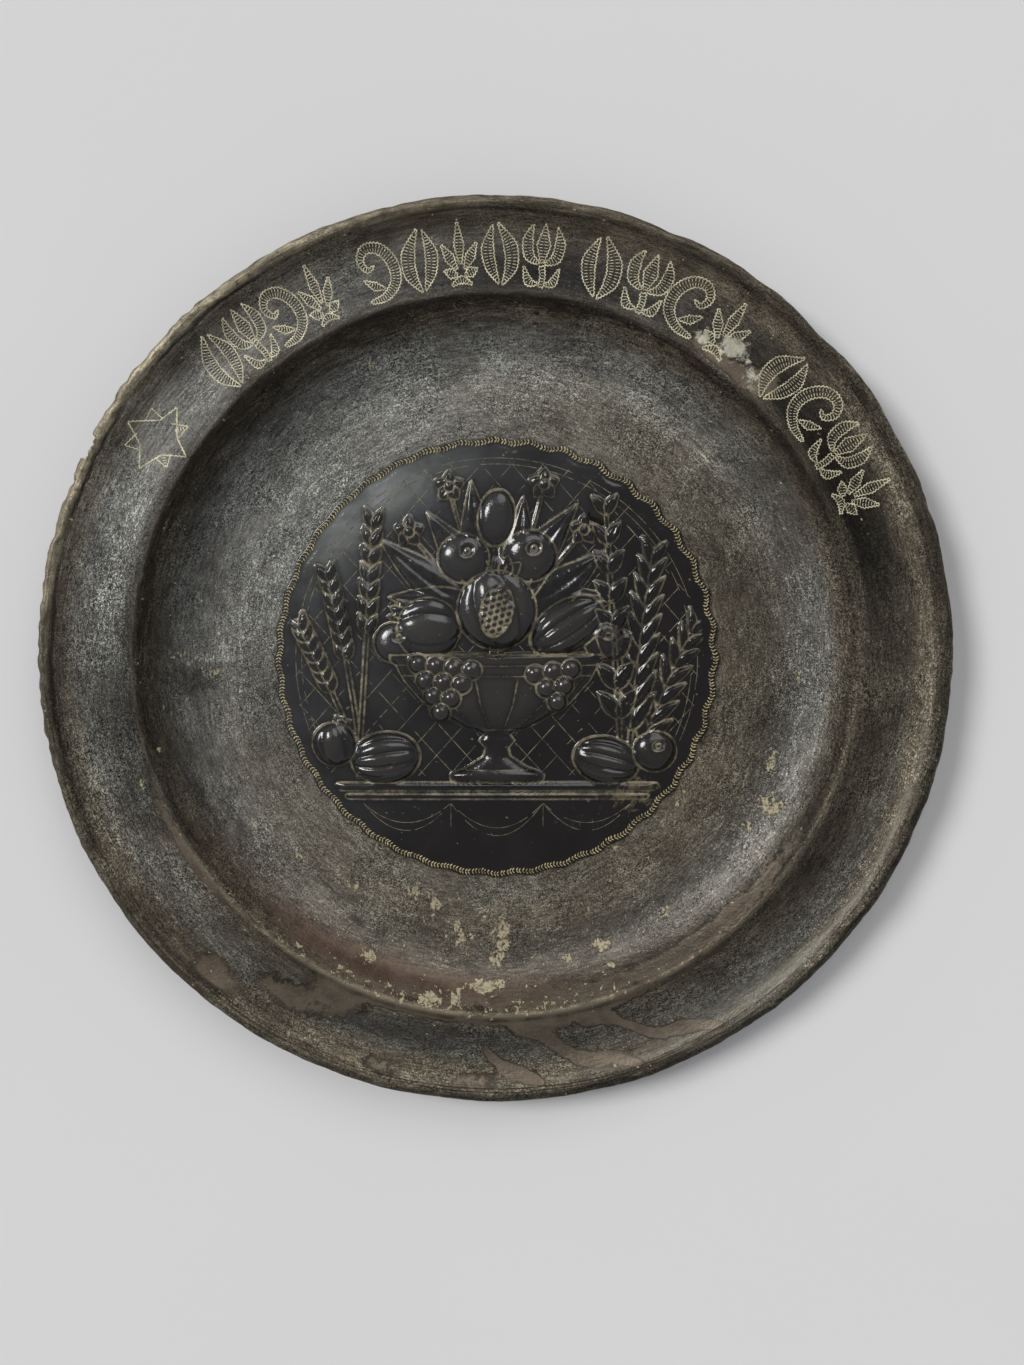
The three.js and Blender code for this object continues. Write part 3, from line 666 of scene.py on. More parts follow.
def medallion():
    """A square grid drawn out to a disc, so that its cells stay even and its edge follows the scallops"""
    cells = SHEET_CELLS
    side = np.linspace(-1, 1, cells + 1)
    u, v = np.meshgrid(side, side)
    across = np.abs(u) > np.abs(v)
    out = np.where(across, u, v)
    ratio = np.divide(np.where(across, v, u), out, out=np.zeros_like(out), where=out != 0)
    turn = np.where(across, np.pi / 4 * ratio, np.pi / 2 - np.pi / 4 * ratio)
    x, y = out * np.cos(turn), out * np.sin(turn)
    share = np.hypot(x, y)
    angle = np.degrees(np.arctan2(y, x))
    reach = MEDALLION_RADIUS + share ** 12 * scallop(angle)
    x, y = x * reach, y * reach
    relief = Relief(x, y)
    harvest(relief)
    radius = np.hypot(x, y)
    border = MEDALLION_RADIUS - BORDER_SETBACK + scallop(angle)
    inside = 1 - smoothstep(radius, 84, 90)
    height = relief.height * inside + slack(x, y)
    height = height - 0.25 * near(radius, border - 1.9, 0.7)
    # burnished softly, as thin metal follows the punch
    for _ in range(2):
        soft = height.copy()
        soft[1:-1, 1:-1] = (4 * height[1:-1, 1:-1] + height[:-2, 1:-1] + height[2:, 1:-1]
                            + height[1:-1, :-2] + height[1:-1, 2:]) / 8
        height = soft
    top = np.stack([x, y, SHEET_TOP + height], -1).reshape(-1, 3)
    row = cells + 1
    i, j = np.meshgrid(np.arange(cells), np.arange(cells), indexing="ij")
    corner = (i * row + j).ravel()
    faces = np.stack([corner, corner + 1, corner + row + 1, corner + row], -1).tolist()
    edge = np.concatenate([np.arange(row), np.arange(1, row) * row + cells,
                           cells * row + np.arange(cells - 1, -1, -1), np.arange(cells - 1, 0, -1) * row])
    rim = len(top)
    points = np.vstack([top, np.column_stack([top[edge, :2], np.full(len(edge), SHEET_BOTTOM)]),
                        [0, 0, SHEET_BOTTOM]])
    count = len(edge)
    for k in range(count):
        m = (k + 1) % count
        faces.append([edge[k], rim + k, rim + m, edge[m]])
        faces.append([rim + k, rim + count, rim + m])
    pad = np.zeros(count + 1)
    chased = relief.chased * (1 - smoothstep(radius, 88, 90))
    dust = 0.85 * hump(x, y, (60, -57), (15, 12)) + 0.5 * hump(x, y, (35, -70), (22, 8))
    dust = dust + 0.9 * hump(x, y, (-25, 88.5), (2.6, 4)) + 0.9 * hump(x, y, (6, 88.5), (4.5, 1.6))
    flat = 1 - smoothstep(relief.height, 0.2, 2)
    dust = dust + 0.35 * flat * (relief.height > 0.05)
    # a painted reflection: a pale grey patch on the bare sheet near its upper left margin
    painted_reflection = swell(angle, 128, 24) * near(radius, 85, 10) * flat * (radius < border - 1)
    # sheen: a painted sheen, lighter and cooler towards the upper left
    fields = {"chased": chased, "dust": dust, "raised": relief.height * inside,
              "sheen": smoothstep(0.6 * y - 0.8 * x, -50, 95), "painted_reflection": painted_reflection}
    return new_mesh("harvest_medallion", points, [list(map(int, face)) for face in faces],
                    {key: np.append(values.ravel(), pad) for key, values in fields.items()})


# Lines cut with a rocked graver

def run_along(path):
    """How far along a path each of its points is"""
    return np.concatenate([[0], np.cumsum(np.hypot(*np.diff(path, axis=0).T))])


def points_at(at, run, path):
    return np.column_stack([np.interp(at, run, path[:, k]) for k in (0, 1)])


def aside_of(line):
    """Unit steps to the left of a line"""
    ahead = np.gradient(line, axis=0)
    return np.column_stack([-ahead[:, 1], ahead[:, 0]]) / (np.hypot(*ahead.T)[:, None] + 1e-9)


class Strokes:
    """Thin raised burrs along lines that lie on a surface, gathered into one mesh"""

    def __init__(self, surface):
        self.surface = surface
        self.places, self.rises, self.faces = [], [], []
        self.count = 0

    def add(self, path, width, crown=0.09, wriggle=0.0, pitch=1.3, spacing=0.4):
        path = np.asarray(path, dtype=float)
        run = run_along(path)
        steps = max(2, int(round(run[-1] / spacing)) + 1)
        at = np.linspace(0, run[-1], steps)
        line = points_at(at, run, path)
        aside = aside_of(line)
        if wriggle:
            zigzag = 4 * np.abs((at / pitch) % 1 - 0.5) - 1
            line = line + aside * (wriggle * zigzag)[:, None]
        thin = np.minimum(1, 0.35 + np.minimum(at, at[-1] - at) / 0.8)[:, None]
        offsets = np.array([-0.5, 0, 0.5])
        rows = line[:, None] + aside[:, None] * offsets[None, :, None] * width * thin[:, None]
        self.places.append(self.placed(rows.reshape(-1, 2)))
        self.rises.append(np.tile([-0.03, crown, -0.03], steps))
        first = self.count + 3 * np.arange(steps - 1)
        for side in (0, 1):
            a = first + side
            self.faces.append(np.stack([a, a + 1, a + 4, a + 3], -1))
        self.count += 3 * steps

    def placed(self, points):
        """Where the surface has the drawn points; here they are already its own"""
        return points

    def mesh(self, name):
        points = self.surface(np.vstack(self.places), np.concatenate(self.rises))
        return new_mesh(name, points, np.vstack(self.faces).tolist())


def smooth_curve(points, count=10):
    """A Catmull-Rom curve through a few points"""
    points = np.asarray(points, dtype=float)
    padded = np.vstack([2 * points[0] - points[1], points, 2 * points[-1] - points[-2]])
    t = np.linspace(0, 1, count, endpoint=False)[:, None]
    parts = []
    for a, b, c, d in zip(padded[:-3], padded[1:-2], padded[2:-1], padded[3:]):
        parts.append(0.5 * (2 * b + (c - a) * t + (2 * a - 5 * b + 4 * c - d) * t ** 2
                            + (3 * b - a - 3 * c + d) * t ** 3))
    return np.vstack(parts + [padded[-2][None]])


# Motifs, each a few tapering bands: points to the right of and outwards from the middle of the rim, in
# millimetres, and the band's width at each point
TULIP = [
    ([(0.6, -12.5), (0.9, -8), (0, -4)], (2.4, 2.4, 2.6)),
    ([(-1.2, -11.5), (-5.6, -10.5), (-8.2, -4.5)], (0.8, 3.8, 0.5)),
    ([(2.2, -11.5), (6, -10), (8.2, -4)], (0.8, 3.8, 0.5)),
    ([(-1.6, -3), (-6, 0), (-7, 6), (-5.2, 12)], (1.2, 4.4, 4.4, 0.5)),
    ([(1.6, -3), (6, 0), (7, 6), (5.2, 12)], (1.2, 4.4, 4.4, 0.5)),
    ([(0, -2.5), (0, 4.5), (0, 12.5)], (1.6, 6, 0.5))]
LEAF = [
    ([(-0.8, -12.5), (-4.6, -5), (-4, 3), (1.4, 12)], (0.8, 5.8, 6, 0.5)),
    ([(1, -12), (4.6, -5.5), (6, 2), (3.8, 11)], (0.8, 5, 5.6, 0.5))]
SCROLL = [
    ([(7.2, -11.5), (-0.5, -10.8), (-6.4, -6), (-7, 1.5), (-3, 8), (3, 9.4), (6.4, 5.6), (4.6, 1.4),
      (1.4, 2.2)], (1.4, 3.4, 4.6, 4.8, 4.4, 3.6, 2.8, 2, 0.8)),
    ([(-0.8, -7.5), (3.4, -5.6), (7.4, -2.2)], (0.8, 3.6, 0.5))]
PALMETTE = [([(0.25 * x, 0.25 * y - 9), (0.6 * x, 0.6 * y - 9), (x, y - 9)], (1.2, 4.4, 0.5))
            for x, y in ((7.728, 3.192), (7.75, 13.485), (0, 21.5), (-7.75, 13.485), (-7.728, 3.192))]
PALMETTE.append(([(-4.8, -12), (0, -10), (4.8, -12)], (0.8, 3.2, 0.8)))
MOTIFS = {"T": TULIP, "L": LEAF, "S": SCROLL, "P": PALMETTE}

RIM_MIDDLE = 167.3
# first and last angle of each group, and its motifs in order; small letters are mirrored
GROUPS = ((25.5, 45.5, "LSTP"), (55.5, 75.0, "lTSP"), (83.5, 106.5, "sLPlT"), (115.5, 132.0, "LTsP"))

MOTIF_ROOM = 18.6
HATCH_PITCH = 1.2
WIDE_BAND = 3.4


def on_rim(place, rise):
    """From (angle, radius) on the turned dish to the dressed surface, sunk where a smear covers it"""
    x, y, z = dressed(place[:, 1], place[:, 0], true_height(place[:, 1]) + rise)
    return np.column_stack([x, y, z - 0.4 * smoothstep(smear_field(x, y), 0.6, 0.9)])


class RimStrokes(Strokes):
    """Strokes drawn in a motif's millimetres about an angle of the rim, kept at true length across"""

    def __init__(self):
        super().__init__(on_rim)
        self.angle, self.stretch, self.middle = 0, 1, RIM_MIDDLE

    def placed(self, points):
        turned = self.angle - np.degrees(self.stretch * points[:, 0] / self.middle)
        return np.column_stack([turned, self.middle + points[:, 1]])


def band(light, dark, guide, widths):
    """A tapering band: a wriggled outline, filled with one or two rows of short cuts"""
    line = smooth_curve(guide)
    run = run_along(line)
    knots = np.interp(np.linspace(0, len(line) - 1, len(guide)), range(len(line)), run)
    width = np.interp(run, knots, widths)
    aside = aside_of(line)
    half = aside * width[:, None] / 2
    outline = np.vstack([line + half, (line - half)[::-1], (line + half)[:1]])
    light.add(outline, 0.7, wriggle=0.34, pitch=1.45)
    for at in np.arange(1.2, run[-1] - 0.8, HATCH_PITCH):
        for pen, shift, thick, rise in ((light, 0, 0.44, 0.09), (dark, HATCH_PITCH / 2, 0.8, 0.05)):
            here, out = (points_at(at + shift, run, part)[0] for part in (line, aside))
            wide = np.interp(at + shift, run, width)
            if wide < 1.6:
                continue
            rows = ((-0.36, -0.04), (0.06, 0.36)) if wide > WIDE_BAND else ((-0.34, 0.34),)
            for low, high in rows:
                pen.add([here + out * low * wide, here + out * high * wide], thick, rise)


def ornament():
    light, dark = RimStrokes(), RimStrokes()
    for first, last, names in GROUPS:
        spacing = math.radians(last - first) * RIM_MIDDLE / (len(names) - 1)
        for angle, name in zip(np.linspace(last, first, len(names)), names):
            for pen in (light, dark):
                pen.angle = angle
                pen.stretch = min(1, spacing / MOTIF_ROOM) * (-1 if name.islower() else 1)
            for guide, widths in MOTIFS[name.upper()]:
                band(light, dark, guide, widths)
    star(light)
    return light.mesh("graver_lines"), dark.mesh("graver_shadows")


STAR = ((58.8, 15), (81, 7.3), (149.4, 13), (197, 7.5), (234.7, 14.6), (279, 6.9), (327.6, 14), (1.5, 8.2))
STAR_BEHIND = (100.5, 12.1), (23.1, 13.9), (284.6, 12.6), (189.7, 13.4)


def star(pen):
    """A hand-drawn four-pointed star before the tips of another"""
    pen.angle, pen.stretch = 146.0, 1

    def polar(turn, reach):
        x, y = heading(turn - pen.angle + 90)
        return reach * x, reach * y

    front = [polar(*corner) for corner in STAR]
    for start, end in zip(front, front[1:] + front[:1]):
        pen.add([start, end], 0.78, wriggle=0.17, pitch=1.6)
    for turn, reach in STAR_BEHIND:
        for side in (-1, 1):
            pen.add([polar(turn, reach), polar(turn + side * 25, 8.2)], 0.6, wriggle=0.17, pitch=1.6)
    for turn in (23.1, 284.6):
        for reach in (8.2, 9.3, 10.4, 11.5):
            half = 1.25 * (14 - reach)
            pen.add([polar(turn - half, reach), polar(turn + half, reach + 0.3)], 0.5)


def on_sheet(place, rise):
    return np.column_stack([place, SHEET_TOP + slack(*place.T) + rise])


def chasing():
    """The chased lines wherever the sheet is bare, broken where they have worn away"""
    paths = chased_lines()
    runs = [run_along(path) for path in paths]
    steps = [np.arange(0, run[-1], CHASED_STEP) for run in runs]
    lines = [points_at(at, run, path) for at, run, path in zip(steps, runs, paths)]
    sheet = Relief(*np.vstack(lines).T)
    harvest(sheet)
    clear = (sheet.height < 0.05) & (sheet.chased < 0.3) & (np.hypot(sheet.x, sheet.y) < CHASED_REACH)
    clear = np.split(clear, np.cumsum([len(at) for at in steps])[:-1])
    pen = Strokes(on_sheet)
    draw = np.random.default_rng(33)
    for run, at, line, bare in zip(runs, steps, lines, clear):
        for _ in range(int(run[-1] / WORN_GAP_SPACING)):
            gap = draw.uniform(0, run[-1])
            bare = bare & (np.abs(at - gap) > draw.uniform(0.5, 3))
        marks = np.flatnonzero(np.diff(np.concatenate([[0], bare.astype(int), [0]])))
        for first, last in marks.reshape(-1, 2):
            if last - first > 4:
                pen.add(line[first:last], draw.uniform(0.3, 0.5), crown=0.07)
    return pen.mesh("chased_lines")


def border():
    """Two rows of slanting cuts that meet like an ear of wheat, round the medallion's waved edge"""
    light = Strokes(on_sheet)
    lean = 0.009
    draw = np.random.default_rng(21)
    for k in range(BORDER_CUTS):
        turn = 2 * math.pi * (k + draw.uniform(-0.15, 0.15)) / BORDER_CUTS
        middle = MEDALLION_RADIUS - BORDER_SETBACK + scallop(math.degrees(turn))
        for side in (-1, 1):
            reach = draw.uniform(0.95, 1.4)
            foot = np.array([math.cos(turn), math.sin(turn)]) * middle
            tip = np.array([math.cos(turn + lean), math.sin(turn + lean)]) * (middle + side * reach)
            light.add([foot, tip], 0.6, crown=0.26, spacing=0.6)
    return light.mesh("border_cuts")


# Materials

def srgb(red, green, blue):
    """A colour as seen on screen, 0 to 255, as the shader's linear values"""
    parts = []
    for part in (red, green, blue):
        part /= 255
        parts.append(part / 12.92 if part <= 0.04045 else ((part + 0.055) / 1.055) ** 2.4)
    return (*parts, 1.0)


class Nodes:
    """Short calls for a material's node tree"""

    def __init__(self, name):
        self.material = bpy.data.materials.new(name)
        self.material.use_nodes = True
        self.tree = self.material.node_tree
        self.shader = self.tree.nodes["Principled BSDF"]
        self.place = self.new("ShaderNodeTexCoord").outputs["Object"]

    def new(self, kind, inputs=None, **settings):
        node = self.tree.nodes.new(kind)
        for key, value in settings.items():
            setattr(node, key, value)
        for key, value in (inputs or {}).items():
            self.set(node.inputs[key], value)
        return node

    def set(self, socket, value):
        """Links another node's output, or sets a number, a vector or a colour as seen on screen"""
        if isinstance(value, bpy.types.NodeSocket):
            self.tree.links.new(value, socket)
        else:
            socket.default_value = srgb(*value) if socket.type == "RGBA" else value

    def math(self, operation, a, b=0.0, clamp=False):
        return self.new("ShaderNodeMath", {0: a, 1: b}, operation=operation, use_clamp=clamp).outputs[0]

    def plus(self, a, b):
        return self.math("ADD", a, b)

    def minus(self, a, b):
        return self.math("SUBTRACT", a, b)

    def most(self, a, b):
        return self.math("MAXIMUM", a, b)

    def times(self, first, *others, clamp=False):
        for other in others:
            first = self.math("MULTIPLY", first, other, clamp)
        return first

    def field(self, name):
        return self.new("ShaderNodeAttribute", attribute_name=name).outputs["Fac"]

    def noise(self, scale, detail=2.0, roughness=0.5, vector=None, distortion=0.0):
        inputs = {"Vector": vector or self.place, "Scale": scale, "Detail": detail, "Roughness": roughness,
                  "Distortion": distortion}
        return self.new("ShaderNodeTexNoise", inputs).outputs["Fac"]

    def stretched(self, scales, offset=(0.0, 0.0, 0.0)):
        inputs = {"Vector": self.place, "Scale": scales, "Location": offset}
        return self.new("ShaderNodeMapping", inputs).outputs[0]

    def polar(self, around, outward):
        """Coordinates that run round and out from the centre, for turning marks, with no seam"""
        x, y, _ = self.new("ShaderNodeSeparateXYZ", {0: self.place}).outputs
        radius = self.math("SQRT", self.plus(self.times(x, x), self.times(y, y)))
        safe = self.most(radius, 1e-4)
        inputs = {0: self.times(self.math("DIVIDE", x, safe), around),
                  1: self.times(self.math("DIVIDE", y, safe), around), 2: self.times(radius, outward)}
        return self.new("ShaderNodeCombineXYZ", inputs).outputs[0]

    def step(self, value, low, high):
        return self.new("ShaderNodeMapRange", {"Value": value, "From Min": low, "From Max": high},
                        interpolation_type="SMOOTHSTEP").outputs["Result"]

    def range(self, value, low, high, to_low, to_high):
        inputs = {"Value": value, "From Min": low, "From Max": high, "To Min": to_low, "To Max": to_high}
        return self.new("ShaderNodeMapRange", inputs).outputs["Result"]

    def mix(self, share, a, b, blend="MIX"):
        node = self.new("ShaderNodeMix", data_type="RGBA", blend_type=blend)
        for socket, value in ((node.inputs[0], share), (node.inputs[6], a), (node.inputs[7], b)):
            self.set(socket, value)
        return node.outputs[2]

    def over(self, colour, tint, *shares):
        """A tint laid over a colour, as strongly as the product of the shares"""
        return self.mix(self.times(*shares), colour, tint)

    def bump(self, height, strength, distance, normal=None):
        inputs = {"Height": height, "Strength": strength, "Distance": distance}
        if normal:
            inputs["Normal"] = normal
        return self.new("ShaderNodeBump", inputs).outputs["Normal"]


def pewter_material():
    n = Nodes("old_pewter")
    grain = n.noise(1.0, 1, 0.5, vector=n.polar(128.0, 1320.0), distortion=0.9)
    coarse = n.noise(720, 2, 0.6, distortion=0.6)
    cloud = n.noise(38, 5, 0.62, distortion=0.5)
    region = n.noise(24, 4, 0.6, distortion=0.8)
    patch = n.noise(95, 5, 0.68, distortion=0.5)
    rag = n.noise(260, 5, 0.72, distortion=0.6)
    turning = n.noise(1.0, 4, 0.7, vector=n.polar(6.0, 900.0))
    streak = n.noise(1.0, 5, 0.72, vector=n.polar(7.0, 420.0))
    broad = n.noise(1.0, 4, 0.62, vector=n.polar(8.0, 210.0), distortion=0.4)
    brushed = n.noise(1.0, 3, 0.6, vector=n.polar(24.0, 1250.0))

    # thin curling wrinkles, where the noise crosses its middle
    curl = n.math("ABSOLUTE", n.minus(grain, 0.5))
    rough_skin = n.times(n.range(region, 0.38, 0.6, 0.3, 1.0), n.range(patch, 0.35, 0.6, 0.5, 1.0),
                         n.field("grained"), n.minus(1.0, n.times(n.field("worn"), 0.75)))
    wrinkle = n.times(n.step(curl, 0.09, 0.03), rough_skin)
    pit = n.times(n.step(coarse, 0.42, 0.32), rough_skin)

    # a smooth brown film hides the skin: it ends sharply on the rim and fades out on the wall
    film_edge = n.plus(n.times(n.minus(patch, 0.5), 1.5), n.times(n.minus(rag, 0.5), 0.6))
    film_edge = n.plus(n.field("film"), film_edge)
    softness = n.minus(1.0, n.field("rim"))
    film = n.step(film_edge, n.minus(0.5, n.times(softness, 0.12)), n.plus(0.58, n.times(softness, 0.3)))
    bare = n.minus(1.0, n.times(film, 0.85))

    cool = n.mix(n.step(cloud, 0.34, 0.66), (83, 79, 75), (109, 107, 103))
    brown = n.mix(n.step(cloud, 0.34, 0.66), (75, 65, 54), (100, 90, 75))
    colour = n.mix(n.field("warm"), cool, brown)
    colour = n.over(colour, (60, 54, 46), n.step(patch, 0.54, 0.70), 0.35)
    colour = n.over(colour, (154, 152, 144), n.step(turning, 0.58, 0.72), n.step(cloud, 0.42, 0.6), 0.55)
    # the wrinkles' pale colour is partly paler metal and partly a painted highlight on their crests
    pale = n.mix(n.field("warm"), (198, 205, 200), (198, 188, 164))
    colour = n.over(colour, pale, wrinkle, bare, 0.92)
    colour = n.over(colour, (28, 25, 22), pit, bare, 0.6)
    # darker over the upper right of the rim: partly dark patina, partly painted shade
    colour = n.over(colour, (46, 41, 35), n.field("dark"), n.range(patch, 0.3, 0.7, 0.6, 0.9))
    shade = n.times(n.field("shade"), n.range(streak, 0.38, 0.62, 1.25, 0.55), clamp=True)
    colour = n.over(colour, (34, 26, 19), shade, 0.86)
    colour = n.over(colour, (38, 33, 28), n.field("streaked"), n.step(streak, 0.54, 0.70), 0.7)
    colour = n.over(colour, (128, 122, 112), n.field("streaked"), n.step(streak, 0.42, 0.30), 0.4)

    # thin cracks that run round the top of the wall, dark, with a painted highlight along a lip on their
    # inner side
    torn = n.minus(n.noise(1.0, 3, 0.6, vector=n.polar(9.0, 170.0)), 0.5)
    crack = n.step(n.math("ABSOLUTE", torn), 0.018, 0.006)
    lip = n.step(n.math("ABSOLUTE", n.minus(torn, 0.024)), 0.014, 0.004)
    colour = n.over(colour, (20, 15, 12), crack, n.field("cracked"), 0.8)
    colour = n.over(colour, (126, 108, 90), lip, n.field("cracked"), n.step(rag, 0.46, 0.56), 0.7)

    film_colour = n.mix(n.step(patch, 0.38, 0.64), (134, 122, 106), (112, 100, 86))
    colour = n.over(colour, film_colour, film, 0.88)
    shore = n.times(n.step(film_edge, 0.44, 0.54), n.step(film_edge, 0.80, 0.58), n.field("rim"))
    colour = n.over(colour, (44, 37, 30), shore, n.range(cloud, 0.38, 0.58, 0.25, 0.8))
    colour = n.over(colour, (78, 56, 46), n.field("red"), n.range(patch, 0.3, 0.7, 0.55, 1.0))

    # the ridge's light line, partly wear and partly a painted highlight, with a painted shadow beside it;
    # the polished band with its painted highlight; and the hem, painted lighter where the light falls, with
    # painted shade in its fold
    colour = n.over(colour, (154, 142, 120), n.field("ridge"), n.range(patch, 0.35, 0.6, 0.6, 1.0))
    colour = n.over(colour, (44, 37, 30), n.field("painted_gutter_shadow"), n.range(patch, 0.35, 0.6, 0.3, 1.0), 0.7)
    # painted highlight along the rubbed band inside the rolled edge
    colour = n.over(colour, (136, 135, 126), n.field("polish_and_highlight"), n.range(streak, 0.4, 0.6, 0.6, 1.0),
                    n.minus(1.0, n.times(film, 0.8)), 0.65)
    # painted light: the hem is lighter on its upper left side, where the light falls on it
    facet = n.noise(1.0, 3, 0.65, vector=n.polar(42.0, 300.0), distortion=0.5)
    colour = n.over(colour, (150, 141, 118), n.field("hem"), n.range(facet, 0.36, 0.58, 0.15, 1.0))
    # painted shade in the fold inside the hem
    colour = n.over(colour, (24, 19, 15), n.field("painted_fold_shade"), n.range(patch, 0.3, 0.7, 0.7, 1.0))
    rolled = n.times(n.field("rolled"), n.step(n.noise(1.0, 2, vector=n.polar(2.0, 1500.0)), 0.5, 0.64))
    colour = n.over(colour, (34, 29, 23), rolled, 0.7)

    # age and handling make it lighter and darker, as a power of e, along with the painted shade and painted
    # light of the tone field
    aged_and_painted_light = n.plus(n.times(n.minus(broad, 0.5), 1.5), n.times(n.minus(brushed, 0.5), 2.0))
    aged_and_painted_light = n.times(aged_and_painted_light, n.minus(1.0, n.most(n.times(film, 0.85), n.times(n.field("polish_and_highlight"), 0.5))))
    tone = n.times(n.field("tone"), n.minus(2.2, n.times(film, 1.2)))
    aged_and_painted_light = n.plus(aged_and_painted_light, n.minus(tone, 0.06))
    colour = n.mix(1.0, colour, n.math("EXPONENT", aged_and_painted_light), "MULTIPLY")

    # residue, flecks and the smear lie on top
    crumbs = n.noise(330, 5, 0.68, vector=n.stretched((1.0, 0.55, 1.0)), distortion=0.5)
    crumbs = n.plus(crumbs, n.times(n.minus(coarse, 0.5), 0.35))
    lump = n.step(n.plus(n.times(n.field("residue"), 0.3), crumbs), 0.735, 0.785)
    colour = n.over(colour, n.mix(n.step(coarse, 0.35, 0.6), (104, 94, 73), (172, 160, 130)), lump, 0.9)
    specks = n.noise(520, 1, 0.5, vector=n.stretched((1, 1, 1), (3, 1, 2)))
    flecks = n.times(n.step(specks, 0.735, 0.78), n.step(patch, 0.45, 0.6))
    colour = n.over(colour, (178, 166, 136), flecks, 0.8)
    smear = n.step(n.plus(n.field("smear"), n.times(n.minus(rag, 0.5), 2.2)), 0.4, 0.75)
    colour = n.over(colour, n.mix(n.step(patch, 0.35, 0.6), (132, 126, 106), (198, 194, 174)), smear, 0.85)
    n.set(n.shader.inputs["Base Color"], colour)

    dull = n.most(lump, n.most(smear, flecks))
    rough = n.minus(n.range(cloud, 0.3, 0.7, 0.42, 0.54), n.times(n.field("worn"), 0.12))
    n.set(n.shader.inputs["Roughness"], n.math("ADD", rough, n.times(dull, 0.25), clamp=True))
    n.set(n.shader.inputs["Metallic"], n.minus(0.8, n.times(dull, 0.75)))

    normal = n.bump(n.times(n.minus(n.times(wrinkle, 0.8), pit), bare), 0.8, 0.0003)
    normal = n.bump(coarse, 0.25, 0.0006, normal)
    normal = n.bump(turning, 0.12, 0.0004, normal)
    normal = n.bump(n.minus(brushed, rolled), 0.3, 0.0003, normal)
    normal = n.bump(n.times(streak, n.field("streaked")), 0.35, 0.0008, normal)
    n.set(n.shader.inputs["Normal"], n.bump(n.plus(lump, smear), 0.7, 0.0004, normal))
    return n.material


def medallion_material():
    n = Nodes("blackened_sheet")
    cloud = n.noise(45, 4, 0.6)
    reflection_breakup = n.noise(60, 3, 0.55, distortion=0.4)
    rag = n.noise(300, 5, 0.72, distortion=0.5)
    worn = n.noise(85, 4, 0.65, distortion=0.5)
    colour = n.mix(n.step(cloud, 0.35, 0.7), (14, 8, 7), (22, 16, 14))
    # painted sheen towards the upper left of the sheet
    colour = n.over(colour, (58, 59, 61), n.field("sheen"), n.range(cloud, 0.3, 0.7, 0.3, 0.9))
    # painted reflection near the sheet's upper left margin
    colour = n.over(colour, (142, 145, 142), n.field("painted_reflection"), n.range(reflection_breakup, 0.3, 0.65, 0.25, 0.85))
    # lighter on the high forms: partly blacking worn from them, partly painted light that leaves the
    # hollows in painted shade
    colour = n.over(colour, (66, 63, 58), n.step(n.field("raised"), 2.2, 5.5), 0.4)
    # painted shade: a dark halo round the chased outlines where the forms meet the sheet
    colour = n.over(colour, (14, 11, 10), n.math("POWER", n.field("chased"), 0.16), 0.6)
    dust = n.step(n.plus(n.times(n.field("dust"), 0.4), rag), 0.76, 0.9)
    colour = n.over(colour, (112, 101, 75), dust, 0.45)
    line = n.times(n.field("chased"), n.range(rag, 0.34, 0.56, 0.6, 1.0), clamp=True)
    line = n.times(n.step(line, 0.3, 0.85), n.range(worn, 0.42, 0.6, 0.2, 0.85), clamp=True)
    colour = n.over(colour, n.mix(rag, (96, 87, 66), (168, 158, 126)), line)
    colour = n.over(colour, (140, 132, 108), n.step(n.noise(520, 1), 0.75, 0.79), 0.5)
    n.set(n.shader.inputs["Base Color"], colour)
    rough = n.range(cloud, 0.3, 0.7, 0.13, 0.25)
    n.set(n.shader.inputs["Roughness"], n.plus(rough, n.times(n.most(dust, line), 0.3)))
    n.shader.inputs["Metallic"].default_value = 0.12
    n.shader.inputs["Specular IOR Level"].default_value = 0.35
    n.shader.inputs["Coat Weight"].default_value = 0.5
    n.shader.inputs["Coat Roughness"].default_value = 0.14
    normal = n.bump(n.noise(700, 3, 0.6), 0.35, 0.0003)
    normal = n.bump(n.noise(160, 3, 0.6), 0.35, 0.0012, normal)
    n.set(n.shader.inputs["Normal"], n.bump(cloud, 0.2, 0.002, normal))
    return n.material


def line_material(name, dim, bright, metallic):
    n = Nodes(name)
    n.set(n.shader.inputs["Base Color"], n.mix(n.step(n.noise(330, 4, 0.7), 0.35, 0.65), dim, bright))
    n.set(n.shader.inputs["Roughness"], n.range(n.noise(900, 2), 0.3, 0.7, 0.45, 0.65))
    n.shader.inputs["Metallic"].default_value = metallic
    n.set(n.shader.inputs["Normal"], n.bump(n.noise(1600, 2), 0.3, 0.0002))
    return n.material


def floor_material():
    n = Nodes("pale_floor")
    n.set(n.shader.inputs["Base Color"], n.mix(n.noise(3, 3), (212, 211, 210), (217, 216, 216)))
    n.shader.inputs["Roughness"].default_value = 0.9
    return n.material


# Assembly

def give(piece, material, replaced=None):
    piece.data.materials.clear()
    piece.data.materials.append(material)
    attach(piece, "root")
    if replaced:
        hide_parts(replaced)


def build():
    give(dish(), pewter_material(), "charger_body")
    give(medallion(), medallion_material(), "medallion")
    lines, shadows = ornament()
    give(lines, line_material("graver_bright", (150, 144, 116), (216, 208, 174), 0.25))
    give(shadows, line_material("graver_dark", (20, 18, 15), (36, 32, 27), 0.3))
    give(chasing(), line_material("chased_bright", (46, 42, 35), (126, 118, 92), 0.2))
    give(border(), line_material("border_bright", (112, 102, 72), (198, 184, 138), 0.25))
    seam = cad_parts["solder_seam"]
    solder = line_material("old_solder", (98, 86, 62), (134, 120, 92), 0.6)
    for slot in seam.material_slots:
        slot.material = solder


